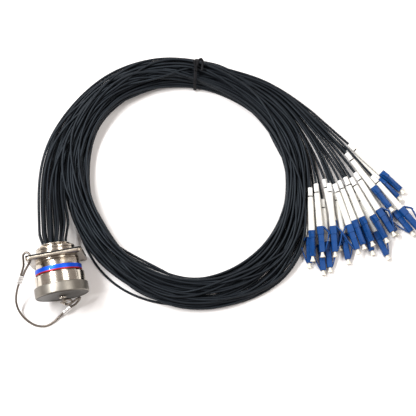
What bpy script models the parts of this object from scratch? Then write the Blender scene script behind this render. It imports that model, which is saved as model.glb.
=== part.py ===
"""Fibre optic cable assembly: a square flanged receptacle with a tethered dust cap,
a round coil of thin leads, and one small square plug on the end of each lead.
Lengths are in millimetres here and are turned into metres when the meshes are made.
The receptacle lies on its side along Y, its cap towards -Y, and everything rests on z = 0.
"""
import math
from collections import namedtuple

import bpy
import bmesh
from mathutils import Matrix, Vector

MM = 0.001
GAP = 0.3

# Receptacle: distances along its axis run forward from the front face of the flange.
FLANGE_SIDE = 46.0
FLANGE_T = 2.4
HOLE_INSET = 3.95
HOLE_SPACING = FLANGE_SIDE - 2 * HOLE_INSET
HOLE_R = 1.65
GASKET_T = 1.0
AXIS_Z = FLANGE_SIDE / 2
SHELL_REAR = -13.0
SHELL_MOUTH = 28.0
EYE_TIP = 37.5
AXIS_Y0 = (EYE_TIP + SHELL_REAR) / 2

THREAD_R = 12.5
BOSS_R = 14.7
NUT_R = 16.0
NUT_LEN = 6.6
BODY_R = 18.0
BAND_R = 19.3
BAND = (6.8, 11.5)
BARREL_R = 17.8
BARREL_FROM = 12.7
SOCKET_WALL = 1.9
SOCKET_R = BARREL_R - SOCKET_WALL
REAR_BORE_R = 11.0
WEB = 1.5
INSERT_FACE = 14.0

CAP_FROM = 12.9
CAP_RIM_FROM = 21.5
CAP_FRONT = 30.3
CAP_WALL = 1.9
CAP_CLEARANCE = 0.9
CAP_BORE_R = BARREL_R + CAP_CLEARANCE
CAP_SLEEVE_R = CAP_BORE_R + CAP_WALL
CAP_RIM_R = CAP_SLEEVE_R + 1.6
SCREW_R = 1.5
SCREW_HEAD_R = 3.0
EYE_HOLE_AT = 35.2
EYE_HALF = 2.2
EYE_HOLE_R = 1.3
RING_MAJOR = 2.6
RING_MINOR = 0.5

ROPE_R = 0.75
CRIMP_SIZE = (4.2, 2.6, 8.5)

# Coil of leads: a turned ring that rests on the wire tie passing under it.
COIL_CENTRE = (119.1, 66.1)
COIL_IN = 83.5
COIL_OUT = 101.0
TIE_T = 0.8
COIL_Z = (TIE_T + GAP + 0.1, 16.0)
TIE_ANGLE = 75.5
TIE_WIDTH = 2.6

LEAD_R = 1.0

# Plug: distances along it run back from the front face of the housing.
PLUG_LEN = 59.0
HOUSING = 22.0
NOSE = 11.0
NOSE_HALF = 2.25
BLOCK_HALF = 2.8
BOOT_END = 51.0
BOOT_R = (2.75, 2.3)
SLEEVE_R = 2.1
LATCH_PEAK = (15.5, 7.2)

Lead = namedtuple("Lead", "front heading rise latch route")
# Each lead: where its plug's front is, which way the plug points, the side its latch
# stands out on (N for one pressed flat under its neighbours), and the lead's route.
LEADS = (
    Lead((206.3, -25.1, 3.0), -100.7, 0.0, "L", ((220.4, 80.3, 1.4), (221.2, 72.8, 1.4), (221.4, 67.1, 1.4), (221.2, 59.5, 1.7), (220.7, 53.8, 2.1), (219.6, 46.3, 2.6), (218.6, 40.6, 2.9), (217.3, 33.1, 3.0))),
    Lead((216.4, -33.3, 3.0), -95.4, 0.0, "L", ((220.4, 80.3, 3.8), (221.4, 71.6, 3.8), (222.1, 65.1, 3.8), (222.6, 56.4, 3.7), (222.8, 49.8, 3.5), (222.7, 41.1, 3.2), (222.5, 34.5, 3.1), (222.0, 25.8, 3.0))),
    Lead((209.4, -20.9, 9.0), -99.4, -0.0, "U", ((220.4, 80.3, 8.8), (221.1, 73.5, 8.9), (221.4, 68.4, 8.9), (221.3, 61.5, 8.9), (221.0, 56.4, 9.0), (220.5, 49.5, 9.0), (220.0, 44.4, 9.0), (219.1, 37.6, 9.0))),
    Lead((222.5, -31.9, 3.0), -95.4, 0.0, "R", ((220.4, 80.3, 6.4), (222.0, 71.8, 6.2), (223.4, 65.5, 5.8), (225.2, 57.1, 5.0), (226.4, 50.7, 4.4), (227.6, 42.2, 3.7), (228.1, 35.7, 3.2), (228.0, 27.1, 3.0))),
    Lead((218.1, -18.9, 8.9), -96.5, -0.3, "R", ((216.9, 96.0, 6.4), (220.1, 87.4, 6.7), (222.4, 81.0, 7.3), (223.9, 72.0, 7.9), (224.5, 65.1, 8.3), (225.0, 56.0, 8.7), (225.2, 49.2, 9.0), (224.8, 40.0, 9.2))),
    Lead((233.6, -15.3, 3.0), -89.6, -0.4, "N", ((216.9, 96.0, 1.4), (219.9, 87.8, 1.5), (222.4, 81.7, 1.6), (225.6, 73.6, 2.0), (227.9, 67.4, 2.4), (230.6, 59.1, 2.9), (232.2, 52.7, 3.2), (233.2, 44.0, 3.4))),
    Lead((228.6, -20.6, 8.9), -96.9, -0.5, "R", ((216.9, 96.0, 8.8), (220.6, 86.9, 9.2), (223.8, 80.3, 9.5), (227.8, 71.4, 9.5), (230.5, 64.5, 9.4), (233.5, 55.2, 9.4), (235.3, 48.0, 9.4), (235.7, 38.3, 9.4))),
    Lead((238.8, -27.8, 3.0), -91.2, -0.4, "R", ((216.9, 96.0, 3.8), (221.0, 85.8, 3.9), (224.7, 78.3, 4.0), (229.5, 68.4, 3.9), (232.8, 60.8, 3.8), (236.6, 50.4, 3.6), (238.9, 42.4, 3.5), (240.1, 31.4, 3.4))),
    Lead((247.3, -21.8, 8.9), -83.0, -0.5, "L", ((210.2, 112.5, 6.4), (216.7, 101.2, 6.7), (221.3, 92.5, 7.1), (226.7, 80.6, 7.8), (230.4, 71.6, 8.3), (234.8, 59.3, 8.9), (237.6, 49.9, 9.2), (240.1, 37.1, 9.4))),
    Lead((253.1, -18.8, 8.9), -82.2, 3.0, "N", ((210.2, 112.5, 3.8), (216.6, 101.2, 3.9), (221.7, 92.9, 4.0), (228.3, 81.8, 4.2), (232.9, 73.2, 4.5), (238.5, 61.5, 4.8), (242.0, 52.5, 5.2), (245.1, 39.9, 5.8))),
    Lead((260.1, -24.2, 3.0), -81.8, 0.0, "N", ((210.2, 112.5, 1.4), (217.5, 100.3, 1.5), (223.4, 91.4, 1.7), (231.3, 79.6, 2.1), (236.8, 70.5, 2.3), (243.5, 57.9, 2.7), (247.9, 48.2, 2.9), (251.6, 34.5, 3.0))),
    Lead((260.5, -17.3, 8.9), -79.9, -0.9, "U", ((210.2, 112.5, 8.8), (217.0, 101.3, 9.1), (222.7, 93.1, 9.3), (230.2, 82.3, 9.5), (235.5, 74.0, 9.6), (242.0, 62.5, 9.8), (246.3, 53.6, 9.9), (250.1, 41.1, 9.8))),
    Lead((271.5, -30.4, 3.0), -76.6, 0.0, "R", ((200.8, 127.7, 1.4), (212.6, 113.3, 1.4), (220.7, 101.9, 1.6), (230.7, 86.2, 2.0), (237.7, 74.2, 2.3), (246.3, 57.7, 2.7), (252.0, 45.0, 2.9), (257.8, 27.3, 3.0))),
    Lead((272.3, -16.8, 9.5), -73.0, 1.4, "U", ((200.8, 127.7, 6.4), (211.4, 114.9, 6.5), (218.9, 105.0, 6.6), (228.3, 91.3, 6.9), (234.9, 80.7, 7.1), (243.2, 66.4, 7.4), (248.9, 55.3, 7.7), (255.0, 39.9, 8.1))),
    Lead((279.4, -12.3, 8.9), -69.9, -0.9, "R", ((200.8, 127.7, 8.8), (211.3, 115.0, 9.0), (219.2, 105.5, 9.2), (229.3, 92.5, 9.5), (236.6, 82.5, 9.6), (245.8, 68.9, 9.8), (252.1, 58.3, 9.9), (259.0, 43.4, 9.8))),
    Lead((283.0, -11.9, 3.0), -68.1, 0.0, "N", ((200.8, 127.7, 3.8), (211.4, 114.8, 3.9), (219.5, 105.3, 3.8), (229.8, 92.2, 3.6), (237.4, 82.2, 3.4), (246.8, 68.6, 3.2), (253.5, 58.0, 3.1), (260.9, 43.1, 3.0))),
    Lead((281.7, 8.5, 8.9), -63.8, 0.0, "N", ((187.6, 142.1, 8.8), (200.5, 131.1, 8.9), (209.6, 122.4, 8.9), (221.0, 109.8, 8.9), (229.2, 100.1, 8.9), (239.6, 86.7, 8.9), (247.0, 76.4, 8.9), (255.5, 61.7, 8.9))),
    Lead((291.7, 17.1, 3.0), -54.4, 0.0, "U", ((187.6, 142.1, 3.8), (200.2, 131.4, 3.9), (208.9, 122.4, 4.0), (219.8, 109.9, 3.8), (228.1, 100.5, 3.7), (239.1, 88.1, 3.4), (247.1, 78.5, 3.2), (257.2, 65.3, 3.0))),
    Lead((296.2, -14.2, 3.0), -63.1, 0.0, "L", ((187.6, 142.1, 1.4), (203.6, 128.3, 1.3), (214.4, 116.5, 1.3), (227.6, 99.9, 1.4), (237.1, 87.2, 1.8), (249.3, 69.8, 2.4), (258.3, 56.7, 2.8), (269.4, 38.6, 3.0))),
    Lead((295.3, 22.7, 3.0), -53.8, -0.2, "U", ((187.6, 142.1, 6.4), (200.0, 131.5, 6.4), (209.5, 123.7, 6.3), (222.0, 113.1, 6.1), (230.8, 104.5, 5.3), (242.0, 92.6, 4.2), (250.1, 83.4, 3.6), (260.3, 70.6, 3.2))),
    Lead((301.7, -13.4, 9.1), -60.8, 0.4, "R", ((170.2, 154.7, 1.4), (191.8, 141.7, 2.4), (205.8, 129.1, 3.1), (222.6, 110.4, 4.2), (234.5, 95.8, 5.5), (249.7, 75.8, 7.0), (260.4, 60.2, 7.9), (272.8, 38.3, 8.7))),
)


def remove_startup_objects():
    for obj in list(bpy.data.objects):
        bpy.data.objects.remove(obj, do_unlink=True)


def material(name, colour, roughness, metallic=0.0):
    mat = bpy.data.materials.new(name)
    mat.use_nodes = True
    shader = mat.node_tree.nodes["Principled BSDF"]
    shader.inputs["Base Color"].default_value = (*colour, 1.0)
    shader.inputs["Roughness"].default_value = roughness
    shader.inputs["Metallic"].default_value = metallic
    return mat


def add_object(name, data, look, smooth=False):
    obj = bpy.data.objects.new(name, data)
    bpy.context.scene.collection.objects.link(obj)
    data.materials.append(material(name + "_look", *look))
    if smooth:
        for face in data.polygons:
            face.use_smooth = True
    return obj


def mesh_from(name, build):
    bm = bmesh.new()
    build(bm)
    bmesh.ops.recalc_face_normals(bm, faces=bm.faces)
    mesh = bpy.data.meshes.new(name)
    bm.to_mesh(mesh)
    bm.free()
    return mesh


def loft(bm, rings, closed=False):
    """Skin a run of equal point rings; close it on itself or cap both ends."""
    rows = [[bm.verts.new(Vector(p) * MM) for p in ring] for ring in rings]
    count = len(rows[0])
    pairs = list(zip(rows, rows[1:]))
    if closed:
        pairs.append((rows[-1], rows[0]))
    else:
        bm.faces.new(rows[0])
        bm.faces.new(list(reversed(rows[-1])))
    for a, b in pairs:
        for i in range(count):
            j = (i + 1) % count
            bm.faces.new((a[i], b[i], b[j], a[j]))


def on_axis(along, radius, turn):
    """A point of the receptacle: forward distance, radius, turn from straight up."""
    return (
        radius * math.sin(turn),
        AXIS_Y0 - along,
        AXIS_Z + radius * math.cos(turn),
    )


def turned(name, profile, look, sides=48):
    """Turn a closed (along, radius) outline about the receptacle's axis."""
    rings = []
    for k in range(sides):
        turn = 2 * math.pi * k / sides
        rings.append([on_axis(a, r, turn) for a, r in profile])
    mesh = mesh_from(name, lambda bm: loft(bm, rings, closed=True))
    return add_object(name, mesh, look, smooth=False)


def stepped(name, steps, look, sides=40):
    """A solid round bar through (along, radius) steps on the receptacle's axis."""
    rings = [
        [on_axis(a, r, 2 * math.pi * k / sides) for k in range(sides)] for a, r in steps
    ]
    return add_object(name, mesh_from(name, lambda bm: loft(bm, rings)), look)


def disc(name, a0, a1, radius, look, sides=40):
    return stepped(name, ((a0, radius), (a1, radius)), look, sides)


def box(name, low, high, look):
    xs, ys, zs = zip(low, high)
    rings = [
        [(xs[0], ys[0], z), (xs[1], ys[0], z), (xs[1], ys[1], z), (xs[0], ys[1], z)]
        for z in zs
    ]
    return add_object(name, mesh_from(name, lambda bm: loft(bm, rings)), look)


def rounded_square(half, corner, steps=3):
    points = []
    for quarter in range(4):
        cx = half - corner if quarter in (0, 3) else corner - half
        cz = half - corner if quarter in (0, 1) else corner - half
        for s in range(steps + 1):
            turn = math.pi / 2 * (quarter + s / steps)
            points.append((cx + corner * math.cos(turn), cz + corner * math.sin(turn)))
    return points


def square_plate(name, a0, a1, half, corner, look):
    outline = rounded_square(half, corner)
    rings = [[(x, AXIS_Y0 - a, AXIS_Z + z) for x, z in outline] for a in (a0, a1)]
    return add_object(name, mesh_from(name, lambda bm: loft(bm, rings)), look)


def combine(target, tool, operation):
    mod = target.modifiers.new(operation.lower(), "BOOLEAN")
    mod.operation = operation
    mod.solver = "EXACT"
    mod.object = tool
    tool.hide_render = True
    tool.display_type = "WIRE"


def corner_holes(a0, a1):
    """Four round bars through the flange corners, joined as one cutter."""
    h = HOLE_SPACING / 2

    def build(bm):
        for sx in (-1, 1):
            for sz in (-1, 1):
                rings = []
                for a in (a0, a1):
                    rings.append([
                        (
                            sx * h + HOLE_R * math.cos(t),
                            AXIS_Y0 - a,
                            AXIS_Z + sz * h + HOLE_R * math.sin(t),
                        )
                        for t in (2 * math.pi * k / 16 for k in range(16))
                    ])
                loft(bm, rings)

    return mesh_from("corner_holes", build)


def smooth_route(points, step):
    """Even points on a Catmull-Rom curve through the route points."""
    pts = [Vector(p) for p in points]
    pts = [2 * pts[0] - pts[1]] + pts + [2 * pts[-1] - pts[-2]]
    fine = []
    for a, b, c, d in zip(pts, pts[1:], pts[2:], pts[3:]):
        for k in range(16):
            t = k / 16
            fine.append(0.5 * (2 * b + (c - a) * t + (2 * a - 5 * b + 4 * c - d) * t * t
                               + (3 * b - a - 3 * c + d) * t ** 3))
    fine.append(pts[-2])
    marks = [0.0]
    for p, q in zip(fine, fine[1:]):
        marks.append(marks[-1] + (q - p).length)
    count = max(3, round(marks[-1] / step) + 1)
    out, i = [], 0
    for k in range(count):
        want = marks[-1] * k / (count - 1)
        while i < len(marks) - 2 and marks[i + 1] < want:
            i += 1
        span = marks[i + 1] - marks[i]
        out.append(fine[i].lerp(fine[i + 1], (want - marks[i]) / span if span else 0.0))
    return out


def cord(name, route, radius, step, look):
    data = bpy.data.curves.new(name, "CURVE")
    data.dimensions = "3D"
    data.bevel_depth = radius * MM
    data.bevel_resolution = 2
    data.use_fill_caps = True
    spline = data.splines.new("POLY")
    points = smooth_route(route, step)
    spline.points.add(len(points) - 1)
    for slot, p in zip(spline.points, points):
        slot.co = (*(p * MM), 1.0)
    obj = bpy.data.objects.new(name, data)
    bpy.context.scene.collection.objects.link(obj)
    data.materials.append(material(name + "_look", *look))
    return obj


NICKEL = ((0.62, 0.58, 0.52), 0.25, 1.0)
STEEL = ((0.55, 0.53, 0.5), 0.4, 1.0)
BLACK_JACKET = ((0.015, 0.017, 0.02), 0.45)
BLACK_RUBBER = ((0.012, 0.012, 0.012), 0.7)
GREY_INSERT = ((0.1, 0.1, 0.1), 0.6)
BLUE = ((0.01, 0.14, 0.55), 0.4)


def build_receptacle():
    shell = turned("receptacle_shell", [
        (SHELL_REAR, REAR_BORE_R), (SHELL_REAR, THREAD_R),
        (-FLANGE_T - GASKET_T - 0.4, THREAD_R), (-FLANGE_T - GASKET_T - 0.4, BOSS_R),
        (-FLANGE_T / 2, BOSS_R), (-FLANGE_T / 2, BODY_R),
        (BAND[0], BODY_R), (BAND[0], BAND_R), (BAND[1], BAND_R), (BAND[1], BODY_R),
        (BARREL_FROM, BODY_R), (BARREL_FROM, BARREL_R), (SHELL_MOUTH - 1, BARREL_R),
        (SHELL_MOUTH, BARREL_R - 0.8), (SHELL_MOUTH, SOCKET_R),
        (WEB, SOCKET_R), (WEB, REAR_BORE_R),
    ], NICKEL, sides=40)
    flange = square_plate("flange_plate", -FLANGE_T, 0.0, FLANGE_SIDE / 2, 2.5, NICKEL)
    bore = disc("flange_bore", -FLANGE_T - 1, 1.0, BOSS_R - 1.2, NICKEL, sides=40)
    combine(flange, bore, "DIFFERENCE")
    combine(shell, flange, "UNION")
    holes = add_object("shell_holes", corner_holes(-FLANGE_T - 1, 1.0), NICKEL)
    combine(shell, holes, "DIFFERENCE")

    gasket = square_plate("flange_gasket", -FLANGE_T - GAP - GASKET_T, -FLANGE_T - GAP,
                          FLANGE_SIDE / 2 - 0.1, 2.5, BLACK_RUBBER)
    middle = disc("gasket_bore", -FLANGE_T - 4, 1.0, BOSS_R + GAP, BLACK_RUBBER, sides=40)
    combine(gasket, middle, "DIFFERENCE")
    gasket_holes = add_object("gasket_holes", corner_holes(-FLANGE_T - 4, 1.0), BLACK_RUBBER)
    combine(gasket, gasket_holes, "DIFFERENCE")

    nut_from = -FLANGE_T - GASKET_T - 0.4 - GAP
    nut = turned("rear_nut", [
        (nut_from, THREAD_R + GAP), (nut_from - NUT_LEN, THREAD_R + GAP),
        (nut_from - NUT_LEN, NUT_R - 0.6), (nut_from - NUT_LEN + 1, NUT_R),
        (nut_from, NUT_R),
    ], NICKEL, sides=40)

    def scallops(bm):
        for k in range(24):
            turn = 2 * math.pi * (k + 0.5) / 24
            mid = Vector(on_axis(nut_from - NUT_LEN, 0, 0))
            ray = Vector((math.sin(turn), 0, math.cos(turn)))
            side = Vector((math.cos(turn), 0, -math.sin(turn)))
            rings = []
            for r in (THREAD_R - 0.5, NUT_R + 1):
                rings.append([
                    mid + ray * r + side * 0.85 * math.cos(t) + Vector((0, -0.9, 0)) * math.sin(t)
                    for t in (2 * math.pi * q / 8 for q in range(8))
                ])
            loft(bm, rings)

    notch = add_object("nut_notches", mesh_from("nut_notches", scallops), NICKEL)
    combine(nut, notch, "DIFFERENCE")

    disc("rear_seal", SHELL_REAR + 0.6, WEB - GAP, REAR_BORE_R - GAP, BLACK_RUBBER)
    disc("contact_insert", WEB + GAP, INSERT_FACE, SOCKET_R - GAP, GREY_INSERT)


def build_dust_cap():
    inner = CAP_BORE_R
    wall = CAP_FRONT - CAP_WALL
    turned("dust_cap", [
        (CAP_FROM, inner + 0.4), (CAP_FROM, CAP_SLEEVE_R), (CAP_RIM_FROM, CAP_SLEEVE_R),
        (CAP_RIM_FROM, CAP_RIM_R - 0.6), (CAP_RIM_FROM + 0.6, CAP_RIM_R),
        (CAP_FRONT - 0.8, CAP_RIM_R), (CAP_FRONT, CAP_RIM_R - 0.8),
        (CAP_FRONT, SCREW_R + GAP), (wall, SCREW_R + GAP), (wall, inner),
        (CAP_FROM + 0.8, inner),
    ], STEEL, sides=40)
    head = CAP_FRONT + GAP
    screw = stepped("cap_screw", (
        (wall - GAP - 1.4, SCREW_HEAD_R), (wall - GAP, SCREW_HEAD_R), (wall - GAP, SCREW_R),
        (head, SCREW_R), (head, SCREW_HEAD_R), (head + 1.7, SCREW_HEAD_R),
    ), STEEL, sides=16)
    lug = box("screw_lug", (-0.8, AXIS_Y0 - EYE_TIP, AXIS_Z - EYE_HALF),
              (0.8, AXIS_Y0 - head - 1.0, AXIS_Z + EYE_HALF), STEEL)

    def eye(bm):
        rings = []
        for x in (-2.0, 2.0):
            rings.append([
                (x, AXIS_Y0 - EYE_HOLE_AT + EYE_HOLE_R * math.cos(t),
                 AXIS_Z + EYE_HOLE_R * math.sin(t))
                for t in (2 * math.pi * k / 12 for k in range(12))
            ])
        loft(bm, rings)

    eye_hole = add_object("screw_eye", mesh_from("screw_eye", eye), STEEL)
    combine(screw, lug, "UNION")
    combine(screw, eye_hole, "DIFFERENCE")

    def ring(bm):
        rings = []
        for k in range(20):
            turn = 2 * math.pi * k / 20
            rings.append([
                (
                    (RING_MAJOR + RING_MINOR * math.cos(t)) * math.sin(turn),
                    AXIS_Y0 - EYE_HOLE_AT + RING_MINOR * math.sin(t),
                    AXIS_Z - RING_MAJOR
                    + (RING_MAJOR + RING_MINOR * math.cos(t)) * math.cos(turn),
                )
                for t in (2 * math.pi * q / 6 for q in range(6))
            ])
        loft(bm, rings, closed=True)

    add_object("tether_ring", mesh_from("tether_ring", ring), STEEL, smooth=True)


def build_lanyard():
    cord("flange_loop", (
        (-28.5, 3.5, 28.8), (-25.6, 6.4, 33.8), (-21.8, 9.4, 39.3), (-19.3, 12.2, 41.9),
        (-19.05, 15.6, 42.05), (-19.1, 18.6, 42.0), (-20.6, 20.9, 41.8), (-23.2, 21.0, 41.4),
        (-25.1, 18.6, 40.9), (-25.5, 14.6, 40.0), (-26.0, 10.6, 37.4), (-28.1, 6.9, 33.0),
        (-30.2, 4.2, 29.4),
    ), ROPE_R, 2.2, STEEL)
    cord("lanyard", (
        (-33.6, -1.4, 23.0), (-35.9, -4.4, 19.4), (-38.6, -9.2, 13.6), (-40.1, -14.6, 8.4),
        (-39.2, -21.0, 4.4), (-35.4, -28.0, 1.9), (-28.6, -34.2, 1.0), (-20.6, -36.6, 0.9),
        (-13.0, -34.6, 1.2), (-7.6, -31.2, 2.2), (-3.8, -29.1, 3.6),
    ), ROPE_R, 3.2, STEEL)
    cord("cap_loop", (
        (3.3, -24.0, 7.6), (5.4, -22.9, 8.9), (6.6, -21.5, 12.2), (4.6, -20.2, 16.4),
        (1.4, -20.6, 19.0), (0.0, -22.95, 19.35), (1.4, -25.4, 19.2), (6.0, -26.9, 18.4),
        (10.6, -26.6, 16.0), (11.4, -25.6, 12.4), (8.2, -25.3, 9.8), (4.0, -25.7, 7.6),
    ), ROPE_R, 2.2, STEEL)
    crimp("crimp_a", (-31.5, 1.2, 26.0), (-0.467, -0.575, -0.667), (0.884, -0.304, -0.352))
    crimp("crimp_b", (0.0, -27.0, 5.5), (0.811, 0.418, 0.410), (-0.46, 0.888, 0.0))


def crimp(name, centre, along, across):
    """A flattened sleeve pressed round both strands of the rope."""
    along = Vector(along).normalized()
    across = Vector(across)
    across = (across - along * across.dot(along)).normalized()
    thick = along.cross(across)
    wide, deep, length = (v / 2 for v in CRIMP_SIZE)
    rings = []
    for end, share in ((-1, 0.85), (-0.9, 1.0), (0.9, 1.0), (1, 0.85)):
        rings.append([
            Vector(centre) + along * length * end
            + across * wide * share * math.cos(t) + thick * deep * share * math.sin(t)
            for t in (2 * math.pi * k / 12 for k in range(12))
        ])
    add_object(name, mesh_from(name, lambda bm: loft(bm, rings)), STEEL, smooth=False)


def coil_outline():
    lo, hi = COIL_Z
    edge = 3.0
    return [
        (COIL_IN + edge, lo), (COIL_OUT - edge, lo), (COIL_OUT, lo + edge),
        (COIL_OUT, hi - edge), (COIL_OUT - edge, hi), (COIL_IN + edge, hi),
        (COIL_IN, hi - edge), (COIL_IN, lo + edge),
    ]


def build_coil():
    cx, cy = COIL_CENTRE
    rings = []
    for k in range(64):
        turn = 2 * math.pi * k / 64
        rings.append([(cx + r * math.cos(turn), cy + r * math.sin(turn), z)
                      for r, z in coil_outline()])
    mesh = mesh_from("lead_coil", lambda bm: loft(bm, rings, closed=True))
    add_object("lead_coil", mesh, BLACK_JACKET, smooth=True)

    turn = math.radians(TIE_ANGLE)
    out = Vector((math.cos(turn), math.sin(turn), 0))
    side = Vector((-math.sin(turn), math.cos(turn), 0))
    base = Vector((cx, cy, 0))
    inner = (COIL_IN - GAP - 0.1, COIL_OUT + GAP + 0.1, TIE_T, COIL_Z[1] + GAP)

    def frame(bm):
        r0, r1, z0, z1 = inner
        sections = []
        for r, z, sr, sz in ((r0, z0, -1, -1), (r1, z0, 1, -1), (r1, z1, 1, 1), (r0, z1, -1, 1)):
            ring = []
            for grow, shift in ((0, -1), (0, 1), (1, 1), (1, -1)):
                ring.append(base + out * (r + sr * grow * TIE_T)
                            + Vector((0, 0, z + sz * grow * TIE_T))
                            + side * shift * TIE_WIDTH / 2)
            sections.append(ring)
        loft(bm, sections, closed=True)

    tie = add_object("coil_tie", mesh_from("coil_tie", frame), BLACK_RUBBER)
    top = base + out * (COIL_OUT - 7) + Vector((0, 0, inner[3] + TIE_T - 0.2))
    tails = []
    for sign, reach in ((-1, 7.0), (1, 9.0)):
        rings = []
        for k in range(5):
            f = k / 4
            mid = top + side * sign * (0.6 + reach * f * 0.35) + out * sign * 0.8 * f
            mid += Vector((0, 0, reach * f - 1.2 * f * f))
            rings.append([mid + out * 0.9 * a + side * 0.45 * b
                          for a, b in ((-1, -1), (1, -1), (1, 1), (-1, 1))])
        name = "tie_tail_" + ("a" if sign < 0 else "b")
        tails.append(add_object(name, mesh_from(name, lambda bm: loft(bm, rings)),
                                BLACK_RUBBER))
    for tail in tails:
        combine(tie, tail, "UNION")


# Bundle from the rear seal to the coil: middle, half width, half height.
TAIL = (
    ((0.0, 24.95, 23.0), 10.2, 10.2), ((0.0, 27.4, 23.0), 10.4, 10.2),
    ((0.0, 33.5, 21.8), 11.0, 9.4),
    ((-0.4, 42.0, 17.8), 11.8, 7.8), ((0.0, 52.0, 12.6), 12.2, 6.4),
    ((1.6, 64.0, 8.8), 12.2, 5.8), ((3.9, 78.0, 7.0), 12.2, 5.6),
    ((8.0, 96.0, 6.6), 12.0, 5.6), ((15.4, 114.5, 6.6), 11.4, 5.6),
    ((26.6, 131.9, 6.6), 10.8, 5.6), ((41.2, 147.4, 6.6), 10.2, 5.6),
    ((58.6, 160.2, 6.6), 9.4, 5.6), ((77.6, 168.9, 6.6), 8.2, 5.6),
    ((97.2, 173.2, 6.6), 7.0, 5.6), ((117.0, 174.0, 6.6), 6.2, 5.6),
)


def build_tail():
    mids = [Vector(t[0]) for t in TAIL]
    rings = []
    steps = 2
    for k in range(len(TAIL) - 1):
        a, b = mids[k], mids[k + 1]
        before = mids[k - 1] if k else 2 * a - b
        after = mids[k + 2] if k + 2 < len(mids) else 2 * b - a
        last = k == len(TAIL) - 2
        for s in range(steps + (1 if last else 0)):
            t = s / steps
            p = 0.5 * (2 * a + (b - before) * t + (2 * before - 5 * a + 4 * b - after) * t * t
                       + (3 * a - before - 3 * b + after) * t ** 3)
            d = 0.5 * ((b - before) + 2 * (2 * before - 5 * a + 4 * b - after) * t
                       + 3 * (3 * a - before - 3 * b + after) * t * t)
            d.normalize()
            wide = TAIL[k][1] * (1 - t) + TAIL[k + 1][1] * t
            high = TAIL[k][2] * (1 - t) + TAIL[k + 1][2] * t
            across = d.cross(Vector((0, 0, 1))).normalized()
            up = across.cross(d)
            rings.append([p + across * wide * math.cos(q) + up * high * math.sin(q)
                          for q in (2 * math.pi * i / 12 for i in range(12))])
    mesh = mesh_from("lead_tail", lambda bm: loft(bm, rings))
    add_object("lead_tail", mesh, BLACK_JACKET, smooth=True)


def octagon(half, cut):
    """Eight points of a square with its corners cut; a full cut gives a round."""
    keep = half - cut
    return [(half, keep), (keep, half), (-keep, half), (-half, keep),
            (-half, -keep), (-keep, -half), (keep, -half), (half, -keep)]


def plug_mesh(latched):
    """One plug along +X with its housing's front at the origin, its latch up."""
    round_cut = 0.586
    stations = (
        (4.2, 1.9, round_cut), (3.4, 1.9, round_cut), (2.2, 1.25, round_cut),
        (0.0, 1.25, round_cut), (0.0, NOSE_HALF, 0.12), (-NOSE, NOSE_HALF, 0.12),
        (-NOSE, BLOCK_HALF, 0.12), (-HOUSING, BLOCK_HALF, 0.12),
        (-HOUSING, BOOT_R[0], round_cut), (-BOOT_END, BOOT_R[1], round_cut),
        (-BOOT_END, SLEEVE_R, round_cut), (-PLUG_LEN, SLEEVE_R, round_cut),
    )

    def body(bm):
        rings = []
        for x, half, cut in stations:
            rings.append([(x, y, z) for y, z in octagon(half, half * cut)])
        loft(bm, rings)

    mesh = mesh_from("plug_body", body)
    if not latched:
        return mesh

    def arch(bm):
        peak_x, peak_z = -LATCH_PEAK[0], LATCH_PEAK[1]
        outline = [
            (-1.0, NOSE_HALF - 0.4), (-1.0, NOSE_HALF + 0.5), (peak_x, peak_z),
            (-HOUSING + 0.2, BLOCK_HALF + 0.5), (-HOUSING + 0.2, BLOCK_HALF - 0.4),
            (-HOUSING + 1.6, BLOCK_HALF - 0.4), (peak_x, peak_z - 1.4),
            (-NOSE + 1.0, 3.4), (-3.2, NOSE_HALF - 0.4),
        ]
        rings = [[(x, y, z) for x, z in outline] for y in (-1.15, 1.15)]
        loft(bm, rings)

    base = bpy.data.objects.new("plug_base", mesh)
    tool = bpy.data.objects.new("plug_latch", mesh_from("plug_latch", arch))
    for obj in (base, tool):
        bpy.context.scene.collection.objects.link(obj)
    combine(base, tool, "UNION")
    bpy.context.view_layer.update()
    joined = bpy.data.meshes.new_from_object(
        base.evaluated_get(bpy.context.evaluated_depsgraph_get()))
    for obj in (base, tool):
        bpy.data.objects.remove(obj, do_unlink=True)
    return joined


LATCH_ROLL = {"U": 0.0, "N": 0.0, "R": -90.0, "L": 90.0}


def build_leads():
    masters = {True: plug_mesh(True), False: plug_mesh(False)}
    for number, lead in enumerate(LEADS, 1):
        cord(f"lead_{number:02d}", lead.route, LEAD_R, 7.5, BLACK_JACKET)
        mesh = masters[lead.latch != "N"].copy()
        mesh.name = f"plug_{number:02d}"
        place = (
            Matrix.Translation(Vector(lead.front))
            @ Matrix.Rotation(math.radians(lead.heading), 4, "Z")
            @ Matrix.Rotation(math.radians(-lead.rise), 4, "Y")
            @ Matrix.Rotation(math.radians(LATCH_ROLL[lead.latch]), 4, "X")
        )
        for vertex in mesh.vertices:
            vertex.co = (place @ (vertex.co / MM)) * MM
        add_object(mesh.name, mesh, BLUE)


def main():
    remove_startup_objects()
    build_receptacle()
    build_dust_cap()
    build_lanyard()
    build_coil()
    build_tail()
    build_leads()


main()
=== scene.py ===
"""Scene of a fibre optic cable assembly: a square flange receptacle with a tethered dust
cap, its thin black leads wound in a round coil, and a small blue plug on each lead."""

import logging
import math
from dataclasses import dataclass
from enum import Enum
from typing import Any, Iterable, Optional, Sequence

import bmesh
import bpy
import numpy as np
from mathutils import Matrix, Vector


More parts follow.
